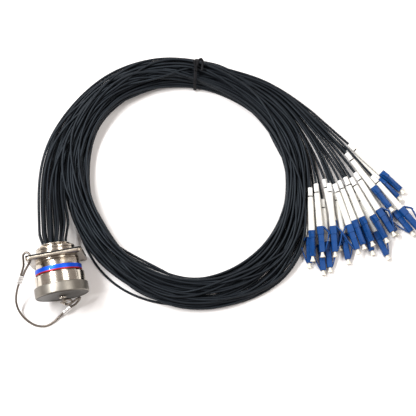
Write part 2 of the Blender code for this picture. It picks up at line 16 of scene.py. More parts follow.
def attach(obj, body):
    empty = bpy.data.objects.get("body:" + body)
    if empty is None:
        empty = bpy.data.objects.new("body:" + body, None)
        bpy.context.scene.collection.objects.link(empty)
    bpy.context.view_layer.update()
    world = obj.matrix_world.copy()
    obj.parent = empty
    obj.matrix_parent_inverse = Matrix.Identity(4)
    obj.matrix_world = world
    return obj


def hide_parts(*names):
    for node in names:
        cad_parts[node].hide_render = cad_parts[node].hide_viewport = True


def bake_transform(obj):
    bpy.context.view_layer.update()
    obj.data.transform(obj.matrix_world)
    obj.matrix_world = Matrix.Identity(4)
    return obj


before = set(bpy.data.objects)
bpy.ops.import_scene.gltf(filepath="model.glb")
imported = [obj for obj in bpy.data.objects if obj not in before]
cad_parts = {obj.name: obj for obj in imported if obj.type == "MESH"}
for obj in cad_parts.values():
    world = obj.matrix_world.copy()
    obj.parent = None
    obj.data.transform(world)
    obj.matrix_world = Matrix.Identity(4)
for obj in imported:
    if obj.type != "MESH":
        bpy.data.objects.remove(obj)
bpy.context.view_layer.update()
LOG = logging.getLogger("cable_assembly")

MM = 0.001
# The receptacle's axis runs level along y; a point `a` mm ahead of the flange is at AXIS_Y - a.
AXIS_Y = 12.25
AXIS_Z = 23.0
THREAD_PITCH = 2.54
THREAD_STARTS = 3
COIL_CENTRE = (119.1, 66.1)
LEAD_R = 1.0


class Body(Enum):
    """The moving bodies that a piece can ride on."""

    RECEPTACLE = "receptacle"
    SWIVEL = "swivel"
    CAP = "cap"


class Latch(Enum):
    """How a plug lies: the turn of its latch about its own length, in degrees."""

    UP = 0.0
    RIGHT = -90.0
    LEFT = 90.0
    PRESSED = None


# Surfaces

def turns(count: int) -> np.ndarray:
    """Angles of so many even steps round a circle, from 0 and without the last."""
    return np.linspace(0, 2 * np.pi, count, endpoint=False)


def smooth(share: np.ndarray) -> np.ndarray:
    """Smooth step between 0 and 1, t^2 (3 - 2t)."""
    return share * share * (3 - 2 * share)


def rounded(profile: Sequence[Sequence[float]], radius: float, steps: int = 3,
            closed: bool = True) -> np.ndarray:
    """Outline with its corners rounded by quadratic arcs.

    Each corner B becomes (1-t)^2 A + 2t(1-t) B + t^2 C, with A and C on its two edges.

    Args:
        profile: corner points, two numbers each.
        radius: how far along its edges a corner is rounded, at most 45 % of an edge.
        steps: pieces in each arc.
        closed: False leaves the first and the last point as they are.

    Returns:
        Array of points (n, 2).
    """
    corner = np.asarray(profile, float)
    back, ahead = np.roll(corner, 1, axis=0) - corner, np.roll(corner, -1, axis=0) - corner
    back_len = np.linalg.norm(back, axis=1)[:, None] + 1e-12
    ahead_len = np.linalg.norm(ahead, axis=1)[:, None] + 1e-12
    reach = np.minimum(radius, 0.45 * np.minimum(back_len, ahead_len))
    start, end = corner + back / back_len * reach, corner + ahead / ahead_len * reach
    t = np.linspace(0.0, 1.0, steps + 1)[None, :, None]
    arcs = ((1 - t) ** 2 * start[:, None] + 2 * t * (1 - t) * corner[:, None]
            + t ** 2 * end[:, None])
    if closed:
        return arcs.reshape(-1, 2)
    return np.concatenate([corner[:1], arcs[1:-1].reshape(-1, 2), corner[-1:]])


def revolve(profile: np.ndarray, sides: int) -> np.ndarray:
    """Grid of a profile (a, r) turned round the receptacle's axis.

    x = r sin(turn), y = AXIS_Y - a, z = AXIS_Z + r cos(turn).

    Args:
        profile: points (n, 2), or (sides, n, 2) where the profile changes with the turn.
        sides: number of steps round the axis.

    Returns:
        Points (sides, n, 3) in millimetres.
    """
    turn = turns(sides)[:, None]
    shape = np.broadcast_to(profile, (sides,) + profile.shape[-2:])
    along, radius = shape[..., 0], shape[..., 1]
    return np.stack([radius * np.sin(turn), AXIS_Y - along,
                     AXIS_Z + radius * np.cos(turn)], axis=-1)


def through(points: Sequence[Sequence[float]], step: float) -> np.ndarray:
    """Smooth line through points (Catmull-Rom), then spaced evenly.

    Args:
        points: points in millimetres.
        step: wanted spacing of the result.

    Returns:
        Points (n, 3).
    """
    p = np.asarray(points, float)
    p = np.vstack([2 * p[0] - p[1], p, 2 * p[-1] - p[-2]])
    t = np.linspace(0.0, 1.0, 12, endpoint=False)[None, :, None]
    a, b, c, d = (p[k:len(p) - 3 + k, None] for k in range(4))
    curve = 0.5 * (2 * b + (c - a) * t + (2 * a - 5 * b + 4 * c - d) * t ** 2
                   + (3 * b - a - 3 * c + d) * t ** 3)
    line = np.vstack([curve.reshape(-1, 3), p[-2]])
    far = np.concatenate([[0], np.cumsum(np.linalg.norm(np.diff(line, axis=0), axis=1))])
    want = np.linspace(0, far[-1], max(2, int(round(far[-1] / step)) + 1))
    return np.stack([np.interp(want, far, line[:, k]) for k in range(3)], axis=1)


def length_of(line: np.ndarray) -> float:
    """Length of a line of points."""
    return float(np.linalg.norm(np.diff(line, axis=0), axis=1).sum())


def carry(line: np.ndarray, outline: np.ndarray, up: Sequence[float] = (0, 0, 1)) -> np.ndarray:
    """Grid of an outline carried along a line, square to it.

    point = line + side * u + lift * v, where side is across the line and level, and lift
    is square to both.

    Args:
        line: points (n, 3).
        outline: (m, 2) or (n, m, 2) offsets u, v.
        up: direction that lift leans to.

    Returns:
        Points (n, m, 3).
    """
    ahead = np.gradient(line, axis=0)
    ahead /= np.linalg.norm(ahead, axis=1)[:, None]
    side = np.cross(ahead, np.asarray(up, float))
    side /= np.linalg.norm(side, axis=1)[:, None]
    lift = np.cross(side, ahead)
    shape = np.broadcast_to(outline, (len(line),) + outline.shape[-2:])
    return (line[:, None] + side[:, None] * shape[..., :1] + lift[:, None] * shape[..., 1:])


def circle(radius: float, sides: int) -> np.ndarray:
    """Outline of a circle, radius * (cos t, sin t)."""
    t = turns(sides)
    return radius * np.stack([np.cos(t), np.sin(t)], axis=1)


class Shape:
    """Gathers grids of points, in millimetres, into one mesh in metres."""

    def __init__(self) -> None:
        """Starts with nothing in it."""
        self.points: list[np.ndarray] = []
        self.faces: list[list[int]] = []
        self.count = 0

    def grid(self, points: np.ndarray, ring_u: bool = False, ring_v: bool = True,
             caps: bool = False) -> "Shape":
        """Adds quads between the neighbours of a grid.

        Args:
            points: (u, v, 3).
            ring_u: join the last row to the first.
            ring_v: join the last column to the first.
            caps: close the first and the last row with a face each.

        Returns:
            This shape.
        """
        rows, columns = points.shape[:2]
        index = np.arange(rows * columns).reshape(rows, columns) + self.count
        below, right = np.roll(index, -1, axis=0), np.roll(index, -1, axis=1)
        across = np.roll(below, -1, axis=1)
        quads = np.stack([index, below, across, right], axis=-1)
        quads = quads[:rows if ring_u else rows - 1, :columns if ring_v else columns - 1]
        self.faces += quads.reshape(-1, 4).tolist()
        if caps:
            self.faces += [index[0].tolist(), index[-1][::-1].tolist()]
        self.points.append(points.reshape(-1, 3))
        self.count += rows * columns
        return self

    def mesh(self, name: str, place: Optional[Matrix] = None) -> bpy.types.Mesh:
        """Makes the mesh, with doubles merged and its faces turned outwards.

        Args:
            name: mesh name.
            place: turn and shift in metres, applied to the points.

        Returns:
            The mesh.
        """
        mesh = bpy.data.meshes.new(name)
        mesh.from_pydata((np.concatenate(self.points) * MM).tolist(), [], self.faces)
        if place is not None:
            mesh.transform(place)
        bm = bmesh.new()
        bm.from_mesh(mesh)
        bmesh.ops.remove_doubles(bm, verts=bm.verts, dist=2e-6)
        bmesh.ops.recalc_face_normals(bm, faces=bm.faces)
        bm.to_mesh(mesh)
        bm.free()
        return mesh


# Materials

class Tree:
    """The node tree of one material."""

    def __init__(self, name: str) -> None:
        """Makes an empty material of that name."""
        self.material = bpy.data.materials.new(name)
        self.material.use_nodes = True
        self.nodes = self.material.node_tree.nodes
        self.nodes.clear()

    def add(self, kind: str, settings: Optional[dict[str, Any]] = None,
            inputs: Optional[dict[Any, Any]] = None, output: Any = 0) -> "Value":
        """Adds a node.

        Args:
            kind: node type, without its ShaderNode start.
            settings: attributes set first, or `stops` for a ramp.
            inputs: socket name or number to a value or a link.
            output: name or number of the output wanted.

        Returns:
            That output.
        """
        node = self.nodes.new("ShaderNode" + kind)
        for key, value in (settings or {}).items():
            if key == "stops":
                ramp = node.color_ramp
                while len(ramp.elements) < len(value):
                    ramp.elements.new(0.5)
                for stop, (at, colour) in zip(ramp.elements, value):
                    stop.position, stop.color = at, colour
            else:
                setattr(node, key, value)
        for key, value in (inputs or {}).items():
            if isinstance(value, Value):
                self.material.node_tree.links.new(value.socket, node.inputs[key])
            else:
                node.inputs[key].default_value = value
        return Value(self, node.outputs[output])

    def maths(self, operation: str, *values: Any, clamp: bool = False) -> "Value":
        """Adds a Math node over numbers and links."""
        return self.add("Math", {"operation": operation, "use_clamp": clamp},
                        dict(enumerate(values)))

    def place(self) -> tuple["Value", "Value", "Value", "Value"]:
        """Object coordinates: the vector, and x, y and z in metres."""
        vector = self.add("TexCoord", output="Object")
        node = self.add("SeparateXYZ", None, {0: vector}).socket.node
        return (vector,) + tuple(Value(self, node.outputs[k]) for k in range(3))

    def mix(self, share: Any, first: Any, second: Any) -> "Value":
        """Colour between two colours."""
        return self.add("Mix", {"data_type": "RGBA"}, {0: share, 6: first, 7: second}, 2)

    def noise(self, vector: "Value", scale: float, detail: float = 2.0,
              roughness: float = 0.5) -> "Value":
        """Noise between 0 and 1 over a vector in metres; scale is in waves per metre."""
        return self.add("TexNoise", None, {"Vector": vector, "Scale": scale,
                                           "Detail": detail, "Roughness": roughness})

    def vector(self, x: Any, y: Any, z: Any) -> "Value":
        """Vector of three numbers or links."""
        return self.add("CombineXYZ", None, {0: x, 1: y, 2: z})

    def bump(self, height: "Value", distance: float, strength: float = 1.0) -> "Value":
        """Normal of a height between 0 and 1, `distance` metres deep."""
        return self.add("Bump", None, {"Height": height, "Distance": distance,
                                       "Strength": strength})

    def finish(self, **surface: Any) -> bpy.types.Material:
        """Closes the tree with one surface shader.

        Args:
            surface: socket names, with _ for a space, and their values or links.

        Returns:
            The material.
        """
        inputs = {key.replace("_", " "): value for key, value in surface.items()}
        shader = self.add("BsdfPrincipled", None, inputs)
        out = self.nodes.new("ShaderNodeOutputMaterial")
        self.material.node_tree.links.new(shader.socket, out.inputs["Surface"])
        return self.material


class Value:
    """A socket on which ordinary arithmetic adds Math nodes."""

    def __init__(self, tree: Tree, socket: bpy.types.NodeSocket) -> None:
        """Wraps an output socket of a tree."""
        self.tree, self.socket = tree, socket

    def __add__(self, other: Any) -> "Value":
        """Sum."""
        return self.tree.maths("ADD", self, other)

    __radd__ = __add__

    def __sub__(self, other: Any) -> "Value":
        """Difference."""
        return self.tree.maths("SUBTRACT", self, other)

    def __rsub__(self, other: Any) -> "Value":
        """Difference from a number."""
        return self.tree.maths("SUBTRACT", other, self)

    def __mul__(self, other: Any) -> "Value":
        """Product."""
        return self.tree.maths("MULTIPLY", self, other)

    __rmul__ = __mul__

    def __truediv__(self, other: Any) -> "Value":
        """Quotient."""
        return self.tree.maths("DIVIDE", self, other)

    def __rtruediv__(self, other: Any) -> "Value":
        """A number divided by it."""
        return self.tree.maths("DIVIDE", other, self)

    def __pow__(self, power: Any) -> "Value":
        """Power."""
        return self.tree.maths("POWER", self, power)

    def above(self, edge: float, soft: float) -> "Value":
        """0 below edge, 1 above it, over a soft band."""
        return self.tree.maths("MULTIPLY_ADD", self, 1 / soft, 0.5 - edge / soft, clamp=True)

    def within(self, low: float, high: float, soft: float) -> "Value":
        """1 between low and high, 0 outside, with soft edges."""
        return self.above(low, soft) * (1 - self.above(high, soft))


def turned_radius(x: Value, z: Value) -> Value:
    """Distance from the receptacle's axis: sqrt(x^2 + (z - AXIS_Z)^2)."""
    up = z - AXIS_Z * MM
    return (x * x + up * up) ** 0.5


def opaque(colour: Sequence[float], share: float = 1.0) -> tuple[float, ...]:
    """Colour times a share, with full alpha."""
    return tuple(share * c for c in colour) + (1.0,)


@dataclass(frozen=True)
class MachinedMetal:
    """Turned metal: fine rings round the axis, faint clouding and worn bright patches.

    Ahead of satin_from the colour lies between its two satin shades, and ahead of
    painted_shade_from it is darkened again by painted shade on the front face. The painted bands
    are given by their start and end.
    """

    name: str
    colour: tuple[float, float, float] = (0.60, 0.54, 0.46)
    dull: tuple[float, float, float] = (0.42, 0.37, 0.31)
    roughness: float = 0.17
    uneven: float = 0.14
    rings: float = 1.0e-6
    satin_from: Optional[float] = None
    satin_roughness: float = 0.4
    satin_shades: tuple[float, float] = (0.27, 0.46)
    # Painted shade on the front face: from this point ahead the colour drops to the share below.
    painted_shade_from: Optional[float] = None
    painted_face_shade: float = 0.085
    banded: bool = False
    blue_band: tuple[float, float] = (6.95, 10.3)
    red_band: tuple[float, float] = (10.3, 11.6)
    band_from_radius: float = 18.6

    def material(self) -> bpy.types.Material:
        """Builds the node material."""
        tree = Tree(self.name)
        vector, x, y, z = tree.place()
        radius = turned_radius(x, z)
        rings = tree.noise(tree.vector(radius, y, 0.0), 2600.0, 3.0, 0.6)
        cloud = tree.noise(vector, 140.0, 3.0, 0.55)
        scratch = tree.noise(tree.vector(x, y * 9.0, z), 420.0, 2.0, 0.6)
        wear = cloud.above(0.5, 0.35)
        colour = tree.mix(wear, opaque(self.dull), opaque(self.colour))
        rough = self.roughness + self.uneven * (scratch - 0.35) + 0.10 * (rings - 0.5)
        ahead = AXIS_Y * MM - y
        if self.satin_from is not None:
            satin = ahead.above(self.satin_from * MM, 0.0004)
            rough = rough + satin * (self.satin_roughness - self.roughness)
            deep, light = (opaque(self.colour, share) for share in self.satin_shades)
            colour = tree.mix(satin, colour, tree.mix(cloud, deep, light))
        # Painted shade: the front face is darkened, standing in for the shade that falls on it.
        if self.painted_shade_from is not None:
            face = ahead.above(self.painted_shade_from * MM, 0.00015)
            colour = tree.mix(face, colour, opaque(self.colour, self.painted_face_shade))
        metallic: Any = 1.0
        if self.banded:
            outer = radius.above(self.band_from_radius * MM, 0.0002)
            chips = tree.noise(vector, 900.0, 2.0, 0.7).above(0.27, 0.06)
            blue, red = (ahead.within(low * MM, high * MM, 0.00008) * outer * chips
                         for low, high in (self.blue_band, self.red_band))
            paint = blue + red
            colour = tree.mix(blue, colour, (0.0, 0.075, 0.62, 1.0))
            colour = tree.mix(red, colour, (0.36, 0.012, 0.012, 1.0))
            metallic = 1 - 0.35 * paint
            rough = rough * (1 - paint) + paint * 0.42
        return tree.finish(
            Base_Color=colour, Metallic=metallic, Roughness=rough,
            Normal=tree.bump(rings, self.rings, 0.7),
        )


@dataclass(frozen=True)
class DrawnWire:
    """Drawn steel wire: bright crowns, and painted shade in the grooves between the strands."""

    name: str
    colour: tuple[float, float, float] = (0.24, 0.205, 0.175)
    roughness: float = 0.34

    def material(self) -> bpy.types.Material:
        """Builds the node material."""
        tree = Tree(self.name)
        vector, _, _, _ = tree.place()
        grain = tree.noise(vector, 2600.0, 2.0)
        # Painted shade: the grooves between the strands get 0.35 of the colour, the crowns the full
        # colour.
        groove_shade_mask = tree.add("Attribute", {"attribute_name": "crown"}, output="Fac")
        colour = tree.mix(groove_shade_mask, opaque(self.colour, 0.35), opaque(self.colour))
        return tree.finish(
            Base_Color=colour, Metallic=0.95,
            Roughness=self.roughness + 0.2 * (grain - 0.5),
            Normal=tree.bump(grain, 8.0e-6, 0.5),
        )


@dataclass(frozen=True)
class Moulding:
    """Moulded or extruded plastic: slight clouding of its colour and a fine skin."""

    name: str
    colour: tuple[float, float, float]
    shade: tuple[float, float, float]
    roughness: float = 0.4
    uneven: float = 0.1
    grain: float = 1800.0
    depth: float = 5.0e-6
    specular: float = 0.5
    tint: tuple[float, float, float] = (1.0, 1.0, 1.0)
    subsurface: float = 0.0
    coat: float = 0.0

    def material(self) -> bpy.types.Material:
        """Builds the node material."""
        tree = Tree(self.name)
        vector, _, _, _ = tree.place()
        cloud = tree.noise(vector, 120.0, 3.0, 0.6)
        skin = tree.noise(vector, self.grain, 2.0, 0.6)
        colour = tree.mix(cloud.above(0.5, 0.5), opaque(self.shade), opaque(self.colour))
        surface = {
            "Base_Color": colour,
            "Roughness": self.roughness + self.uneven * (skin - 0.5) + 0.08 * (cloud - 0.5),
            "Specular_IOR_Level": self.specular,
            "Specular_Tint": opaque(self.tint),
            "Coat_Weight": self.coat,
            "Coat_Roughness": 0.2,
            "Normal": tree.bump(skin, self.depth, 0.6),
        }
        if self.subsurface:
            surface["Subsurface_Weight"] = self.subsurface
            surface["Subsurface_Radius"] = (0.002, 0.0018, 0.0015)
        return tree.finish(**surface)


NICKEL = MachinedMetal("bright_nickel", banded=True)
# Cap steel; ahead of 29.95 mm its front face gets painted shade.
SATIN = MachinedMetal("satin_steel", (0.68, 0.63, 0.55), (0.52, 0.475, 0.40), 0.15, 0.10,
                      satin_from=21.2, satin_roughness=0.42, painted_shade_from=29.95)
SMALL_STEEL = MachinedMetal("small_steel", (0.58, 0.53, 0.46), (0.40, 0.36, 0.31), 0.22)
CRIMP = MachinedMetal("pressed_aluminium", (0.90, 0.89, 0.87), (0.76, 0.75, 0.73), 0.38)
# Flange nickel: the shell's nickel darkened by painted shade, standing in for the shade on the
# flange's face.
PLATE_WITH_PAINTED_SHADE = MachinedMetal("flange_nickel_painted_shade", (0.37, 0.325, 0.27), (0.27, 0.235, 0.19), 0.28)
ROPE = DrawnWire("stranded_rope")
JACKET = Moulding("black_jacket", (0.010, 0.012, 0.015), (0.005, 0.006, 0.008), 0.45, 0.16,
                  2200.0, 5.0e-6, 0.22, (0.75, 0.88, 1.0))
RUBBER = Moulding("black_rubber", (0.012, 0.012, 0.012), (0.007, 0.007, 0.007), 0.68, 0.2,
                  1500.0, 1.2e-5, 0.35)
INSERT = Moulding("insert_plastic", (0.085, 0.085, 0.085), (0.06, 0.06, 0.06), 0.55)
TIE = Moulding("tie_plastic", (0.012, 0.012, 0.014), (0.006, 0.006, 0.007), 0.66, 0.1,
               specular=0.12)
BLUE = Moulding("blue_plug", (0.0003, 0.050, 0.205), (0.0003, 0.036, 0.155), 0.38, 0.12,
                1400.0, 4.0e-6, 0.30)
WHITE = Moulding("white_boot", (0.84, 0.83, 0.79), (0.76, 0.75, 0.70), 0.46, 0.12,
                 1100.0, 6.0e-6, 0.45, subsurface=0.12)
SLEEVE = Moulding("white_sleeve", (0.86, 0.86, 0.84), (0.78, 0.77, 0.74), 0.38, 0.1)
NATURAL = Moulding("natural_cap", (0.80, 0.77, 0.68), (0.70, 0.66, 0.56), 0.34, 0.1,
                   1200.0, 4.0e-6, 0.5, subsurface=0.25)


class Finishes:
    """Keeps one material for each finish."""

    made: dict[str, bpy.types.Material] = {}

    @classmethod
    def of(cls, finish: Any) -> bpy.types.Material:
        """The material of a finish, made the first time it is asked for."""
        if finish.name not in cls.made:
            cls.made[finish.name] = finish.material()
        return cls.made[finish.name]


def put(name: str, data: Any) -> bpy.types.Object:
    """New object with that data, linked to the scene."""
    obj = bpy.data.objects.new(name, data)
    bpy.context.scene.collection.objects.link(obj)
    return obj


def add_piece(name: str, mesh: bpy.types.Mesh, finish: Any, body: Optional[Body],
              stands_for: Iterable[str] = (), crease: float = 32.0
              ) -> bpy.types.Object:
    """Puts a piece in the scene with its finish and its body.

    Args:
        name: piece name.
        mesh: mesh in metres, in the part's frame.
        finish: finish of the whole piece.
        body: body that it rides on, or None for a piece that rides on none.
        stands_for: CAD nodes that it replaces.
        crease: angle in degrees past which an edge stays sharp.

    Returns:
        The object.
    """
    mesh.name = name
    mesh.polygons.foreach_set("use_smooth", np.ones(len(mesh.polygons), bool))
    mesh.set_sharp_from_angle(angle=math.radians(crease))
    mesh.materials.clear()
    mesh.materials.append(Finishes.of(finish))
    obj = put(name, mesh)
    if body is not None:
        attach(obj, body.value)
    if stands_for:
        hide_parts(*stands_for)
    LOG.info("piece %s: %d faces", name, len(mesh.polygons))
    return obj


def cut(mesh: bpy.types.Mesh, tool: bpy.types.Mesh) -> bpy.types.Mesh:
    """Mesh with a closed tool taken out of it."""
    base, cutter = (put("cut_part", m) for m in (mesh, tool))
    step = base.modifiers.new("cut", "BOOLEAN")
    step.operation, step.solver, step.object = "DIFFERENCE", "EXACT", cutter
    bpy.context.view_layer.update()
    result = bpy.data.meshes.new_from_object(
        base.evaluated_get(bpy.context.evaluated_depsgraph_get()))
    for obj in (base, cutter):
        bpy.data.objects.remove(obj, do_unlink=True)
    return result


def block(centre: Sequence[float], axes: Sequence[Sequence[float]],
          half: Sequence[float]) -> bpy.types.Mesh:
    """Box tool from its middle, its three directions and its half sizes."""
    out, side, along = (np.asarray(a, float) * h for a, h in zip(axes, half))
    ring = np.array([out + side, side - out, -out - side, out - side])
    grid = np.asarray(centre, float) + np.stack([ring - along, ring + along])
    return Shape().grid(grid, caps=True).mesh("tool")


# Receptacle and cap

def thread(low: float, high: float, crest: float, depth: float, sides: int,
           pitch: float = THREAD_PITCH, starts: int = THREAD_STARTS) -> np.ndarray:
    """Profile points of a thread, changing with the turn.

    r = crest - depth * (0.5 - 0.5 cos(2 pi a / pitch - starts turn))^0.7, faded at both
    ends. A negative depth gives a thread in a bore.

    Args:
        low: a at its start.
        high: a at its end.
        crest: radius at the crests.
        depth: depth of the roots.
        sides: number of steps round the axis.
        pitch: distance between crests.
        starts: number of threads side by side.

    Returns:
        (sides, n, 2) points a, r.
    """
    along = np.linspace(low, high, int(abs(high - low) / pitch * 8) + 2)
    wave = 0.5 - 0.5 * np.cos(2 * np.pi * along / pitch - starts * turns(sides)[:, None])
    edge = np.minimum(np.abs(along - low), np.abs(high - along))
    fade = np.clip(edge / pitch, 0, 1)
    radius = crest - depth * (wave ** 0.7 * fade)
    return np.stack([np.broadcast_to(along, radius.shape), radius], axis=-1)


def joined(sides: int, *parts: Any) -> np.ndarray:
    """Joins fixed points and thread parts into one profile (sides, n, 2)."""
    return np.concatenate([np.broadcast_to(np.asarray(p, float), (sides,) + np.shape(p)[-2:])
                           for p in parts], axis=1)


def collars(shape: Shape, profile: np.ndarray, spots: np.ndarray) -> None:
    """Adds a small turned ring, of a profile (a, r), at each offset (x, z) from the axis."""
    sides = 20
    turn = turns(sides)[:, None]
    for x, z in spots:
        shape.grid(np.stack([
            x + profile[:, 1] * np.sin(turn),
            np.broadcast_to(AXIS_Y - profile[:, 0], (sides, len(profile))),
            AXIS_Z + z + profile[:, 1] * np.cos(turn)], axis=-1), ring_u=True)


@dataclass
class Receptacle:
    """The flange receptacle: shell, flange, gasket, rear nut, seal and insert (mm)."""

    flange_side: float = 46.0
    flange_t: float = 2.4
    hole_at: float = 19.05
    hole_r: float = 1.65
    body_r: float = 18.0
    band_r: float = 19.3
    barrel_r: float = 17.8
    socket_r: float = 15.9
    rear_r: float = 12.5
    boss_r: float = 14.7
    bore_r: float = 11.0
    nut_r: float = 16.0
    nut_from: float = -4.1
    nut_length: float = 6.6
    notches: int = 24
    sides: int = 144

    def shell(self) -> None:
        """Shell: one turned body with its band, threads and socket, a flat and a keyway."""
        back = -self.flange_t - 1.4
        outside = rounded([
            (-0.6, self.boss_r), (-0.6, self.body_r), (0.9, self.body_r),
            (0.9, self.body_r - 0.25), (1.3, self.body_r - 0.25), (1.3, self.body_r),
            (6.8, self.body_r), (6.8, self.band_r), (11.5, self.band_r),
            (11.5, self.body_r - 1.0), (12.8, self.body_r - 1.0), (13.2, self.barrel_r),
        ], 0.16, 2, closed=False)
        profile = joined(
            self.sides,
            [(-13.0, self.bore_r + 0.4), (-13.0, self.rear_r - 0.5)],
            thread(-12.6, back - 0.2, self.rear_r, 0.45, self.sides, 1.1, 1),
            [(back, self.rear_r), (back, self.boss_r - 0.2), (back + 0.2, self.boss_r)],
            outside,
            thread(13.8, 26.6, self.barrel_r, 0.55, self.sides),
            rounded([(26.8, self.barrel_r), (28.0, self.barrel_r - 0.8),
                     (28.0, self.socket_r + 0.3), (27.6, self.socket_r),
                     (1.5, self.socket_r), (1.5, self.bore_r)], 0.12, 2, closed=False),
            [(-12.6, self.bore_r)],
        )
        mesh = Shape().grid(revolve(profile, self.sides), ring_u=True).mesh("shell")
        tilt = math.radians(49.0)
        out = (math.sin(tilt), 0.0, math.cos(tilt))
        side = (math.cos(tilt), 0.0, -math.sin(tilt))
        flat = block((out[0] * 19.9, AXIS_Y - 3.65, AXIS_Z + out[2] * 19.9),
                     (out, side, (0, 1, 0)), (3.3, 6.1, 2.2))
        mesh = cut(mesh, flat)
        keyway = block((0, AXIS_Y - 20.5, AXIS_Z + self.socket_r),
                       ((0, 0, 1), (1, 0, 0), (0, 1, 0)), (0.9, 1.3, 7.6))
        mesh = cut(mesh, keyway)
        add_piece("shell_body", mesh, NICKEL, Body.RECEPTACLE,
                  ["receptacle_shell"])

    def plate(self, half: float, corner: float, bore: float, low: float, high: float,
              edge: float, name: str) -> bpy.types.Mesh:
        """Square plate with a round middle and four corner holes.

        The outline is a square with round corners. It is joined to the bore by rows of
        points and then drilled.

        Args:
            half: half side.
            corner: corner radius.
            bore: radius of the middle hole.
            low: a of its rear face.
            high: a of its front face.
            edge: rounding of its edges.
            name: mesh name.

        Returns:
            The mesh.
        """
        ray = circle(1.0, 160)
        straight = half / np.max(np.abs(ray), axis=1)
        inner = half - corner
        along, across = np.abs(ray).max(axis=1), np.abs(ray).min(axis=1)
        dot = (along + across) * inner
        round_reach = dot + np.sqrt(np.maximum(dot ** 2 - 2 * inner ** 2 + corner ** 2, 0))
        at_corner = straight * across > inner
        reach = np.where(at_corner, round_reach, straight)
        rows = []
        for a, share, inset in (
                (low, 0.0, 0.0), (low, 1.0, edge), (low + 0.3 * edge, 1.0, 0.3 * edge),
                (low + edge, 1.0, 0.0), (high - edge, 1.0, 0.0),
                (high - 0.3 * edge, 1.0, 0.3 * edge), (high, 1.0, edge), (high, 0.0, 0.0)):
            radius = bore * (1 - share) + (reach - inset) * share
            rows.append(np.stack([ray[:, 0] * radius, np.full(len(ray), AXIS_Y - a),
                                  AXIS_Z + ray[:, 1] * radius], axis=1))
        mesh = Shape().grid(np.stack(rows), ring_u=True).mesh(name)
        for sx, sz in ((-1, -1), (-1, 1), (1, -1), (1, 1)):
            line = np.array([[sx * self.hole_at, AXIS_Y - a, AXIS_Z + sz * self.hole_at]
                             for a in (low - 1, high + 1)])
            grid = carry(line, circle(self.hole_r, 36))
            mesh = cut(mesh, Shape().grid(grid, caps=True).mesh("drill"))
        return mesh

    def flange(self) -> None:
        """Square flange and the gasket behind it."""
        half = self.flange_side / 2
        mesh = self.plate(half, 2.5, self.boss_r - 0.9, -self.flange_t, 0.0, 0.28, "flange")
        add_piece("flange", mesh, PLATE_WITH_PAINTED_SHADE, Body.RECEPTACLE, ["receptacle_shell"])
        mesh = self.plate(half - 0.1, 2.5, self.boss_r + 0.3, -self.flange_t - 1.25,
                          -self.flange_t - 0.15, 0.2, "gasket")
        add_piece("gasket", mesh, RUBBER, Body.RECEPTACLE,
                  ["flange_gasket"])

    def nut(self) -> None:
        """Rear nut: its rear edge is scalloped, a = a0 + 0.95 * notch(turn) * fade."""
        back = self.nut_from - self.nut_length
        bore = self.rear_r + 0.3
        profile = rounded([
            (self.nut_from, bore), (back, bore), (back, bore + 0.5), (back, self.nut_r - 0.5),
            (back + 0.7, self.nut_r), (back + 2.2, self.nut_r), (back + 2.5, self.nut_r - 0.3),
            (back + 2.9, self.nut_r - 0.3), (back + 3.2, self.nut_r),
            (self.nut_from, self.nut_r)], 0.12, 2)
        turn = turns(self.notches * 12)[:, None]
        notch = np.clip(np.cos(self.notches * turn + np.pi) * 1.4, 0, 1) ** 0.8
        fade = np.clip(1 - (profile[:, 0] - back) / 2.0, 0, 1)
        shape = np.broadcast_to(profile, (turn.size,) + profile.shape).copy()
        shape[..., 0] += 0.95 * notch * fade
        grid = revolve(shape, turn.size)
        mesh = Shape().grid(grid, ring_u=True).mesh("nut")
        add_piece("rear_nut_dressed", mesh, NICKEL, Body.RECEPTACLE, ["rear_nut"])

    def rear_seal(self, holes: np.ndarray) -> None:
        """Rubber seal with a raised lip round each lead.

        Args:
            holes: offsets (x, z) of the leads from the axis.
        """
        profile = rounded([(-12.2, 0.0), (-12.2, self.bore_r - 0.3),
                           (1.2, self.bore_r - 0.3), (1.2, 0.0)], 0.4, 3, closed=False)
        shape = Shape().grid(revolve(profile, 72), ring_u=True, ring_v=False)
        lip = rounded([(-12.5, LEAD_R + 0.06), (-12.5, LEAD_R + 0.45), (-12.0, LEAD_R + 0.75),
                       (-11.9, LEAD_R + 0.06)], 0.12, 2)
        collars(shape, lip, holes)
        add_piece("rear_seal_dressed", shape.mesh("rear_seal_dressed"), RUBBER,
                  Body.RECEPTACLE, ["rear_seal"])

    def insert(self, holes: np.ndarray) -> None:
        """Insert in the socket, with a shallow well for each lead, spread 1.38 times."""
        face = rounded([(1.8, 0.0), (1.8, self.socket_r - 0.3), (14.0, self.socket_r - 0.3),
                        (14.0, 0.0)], 0.3, 3, closed=False)
        shape = Shape().grid(revolve(face, 72), ring_u=True, ring_v=False)
        well = rounded([(13.9, 0.9), (14.5, 0.9), (14.5, 1.35), (13.9, 1.5)], 0.1, 2)
        collars(shape, well, holes * 1.38)
        add_piece("insert", shape.mesh("insert"), INSERT, Body.RECEPTACLE,
                  ["contact_insert"])

    def build(self, holes: np.ndarray) -> None:
        """Makes every piece of the receptacle."""
        self.shell()
        self.flange()
        self.nut()
        self.rear_seal(holes)
        self.insert(holes)


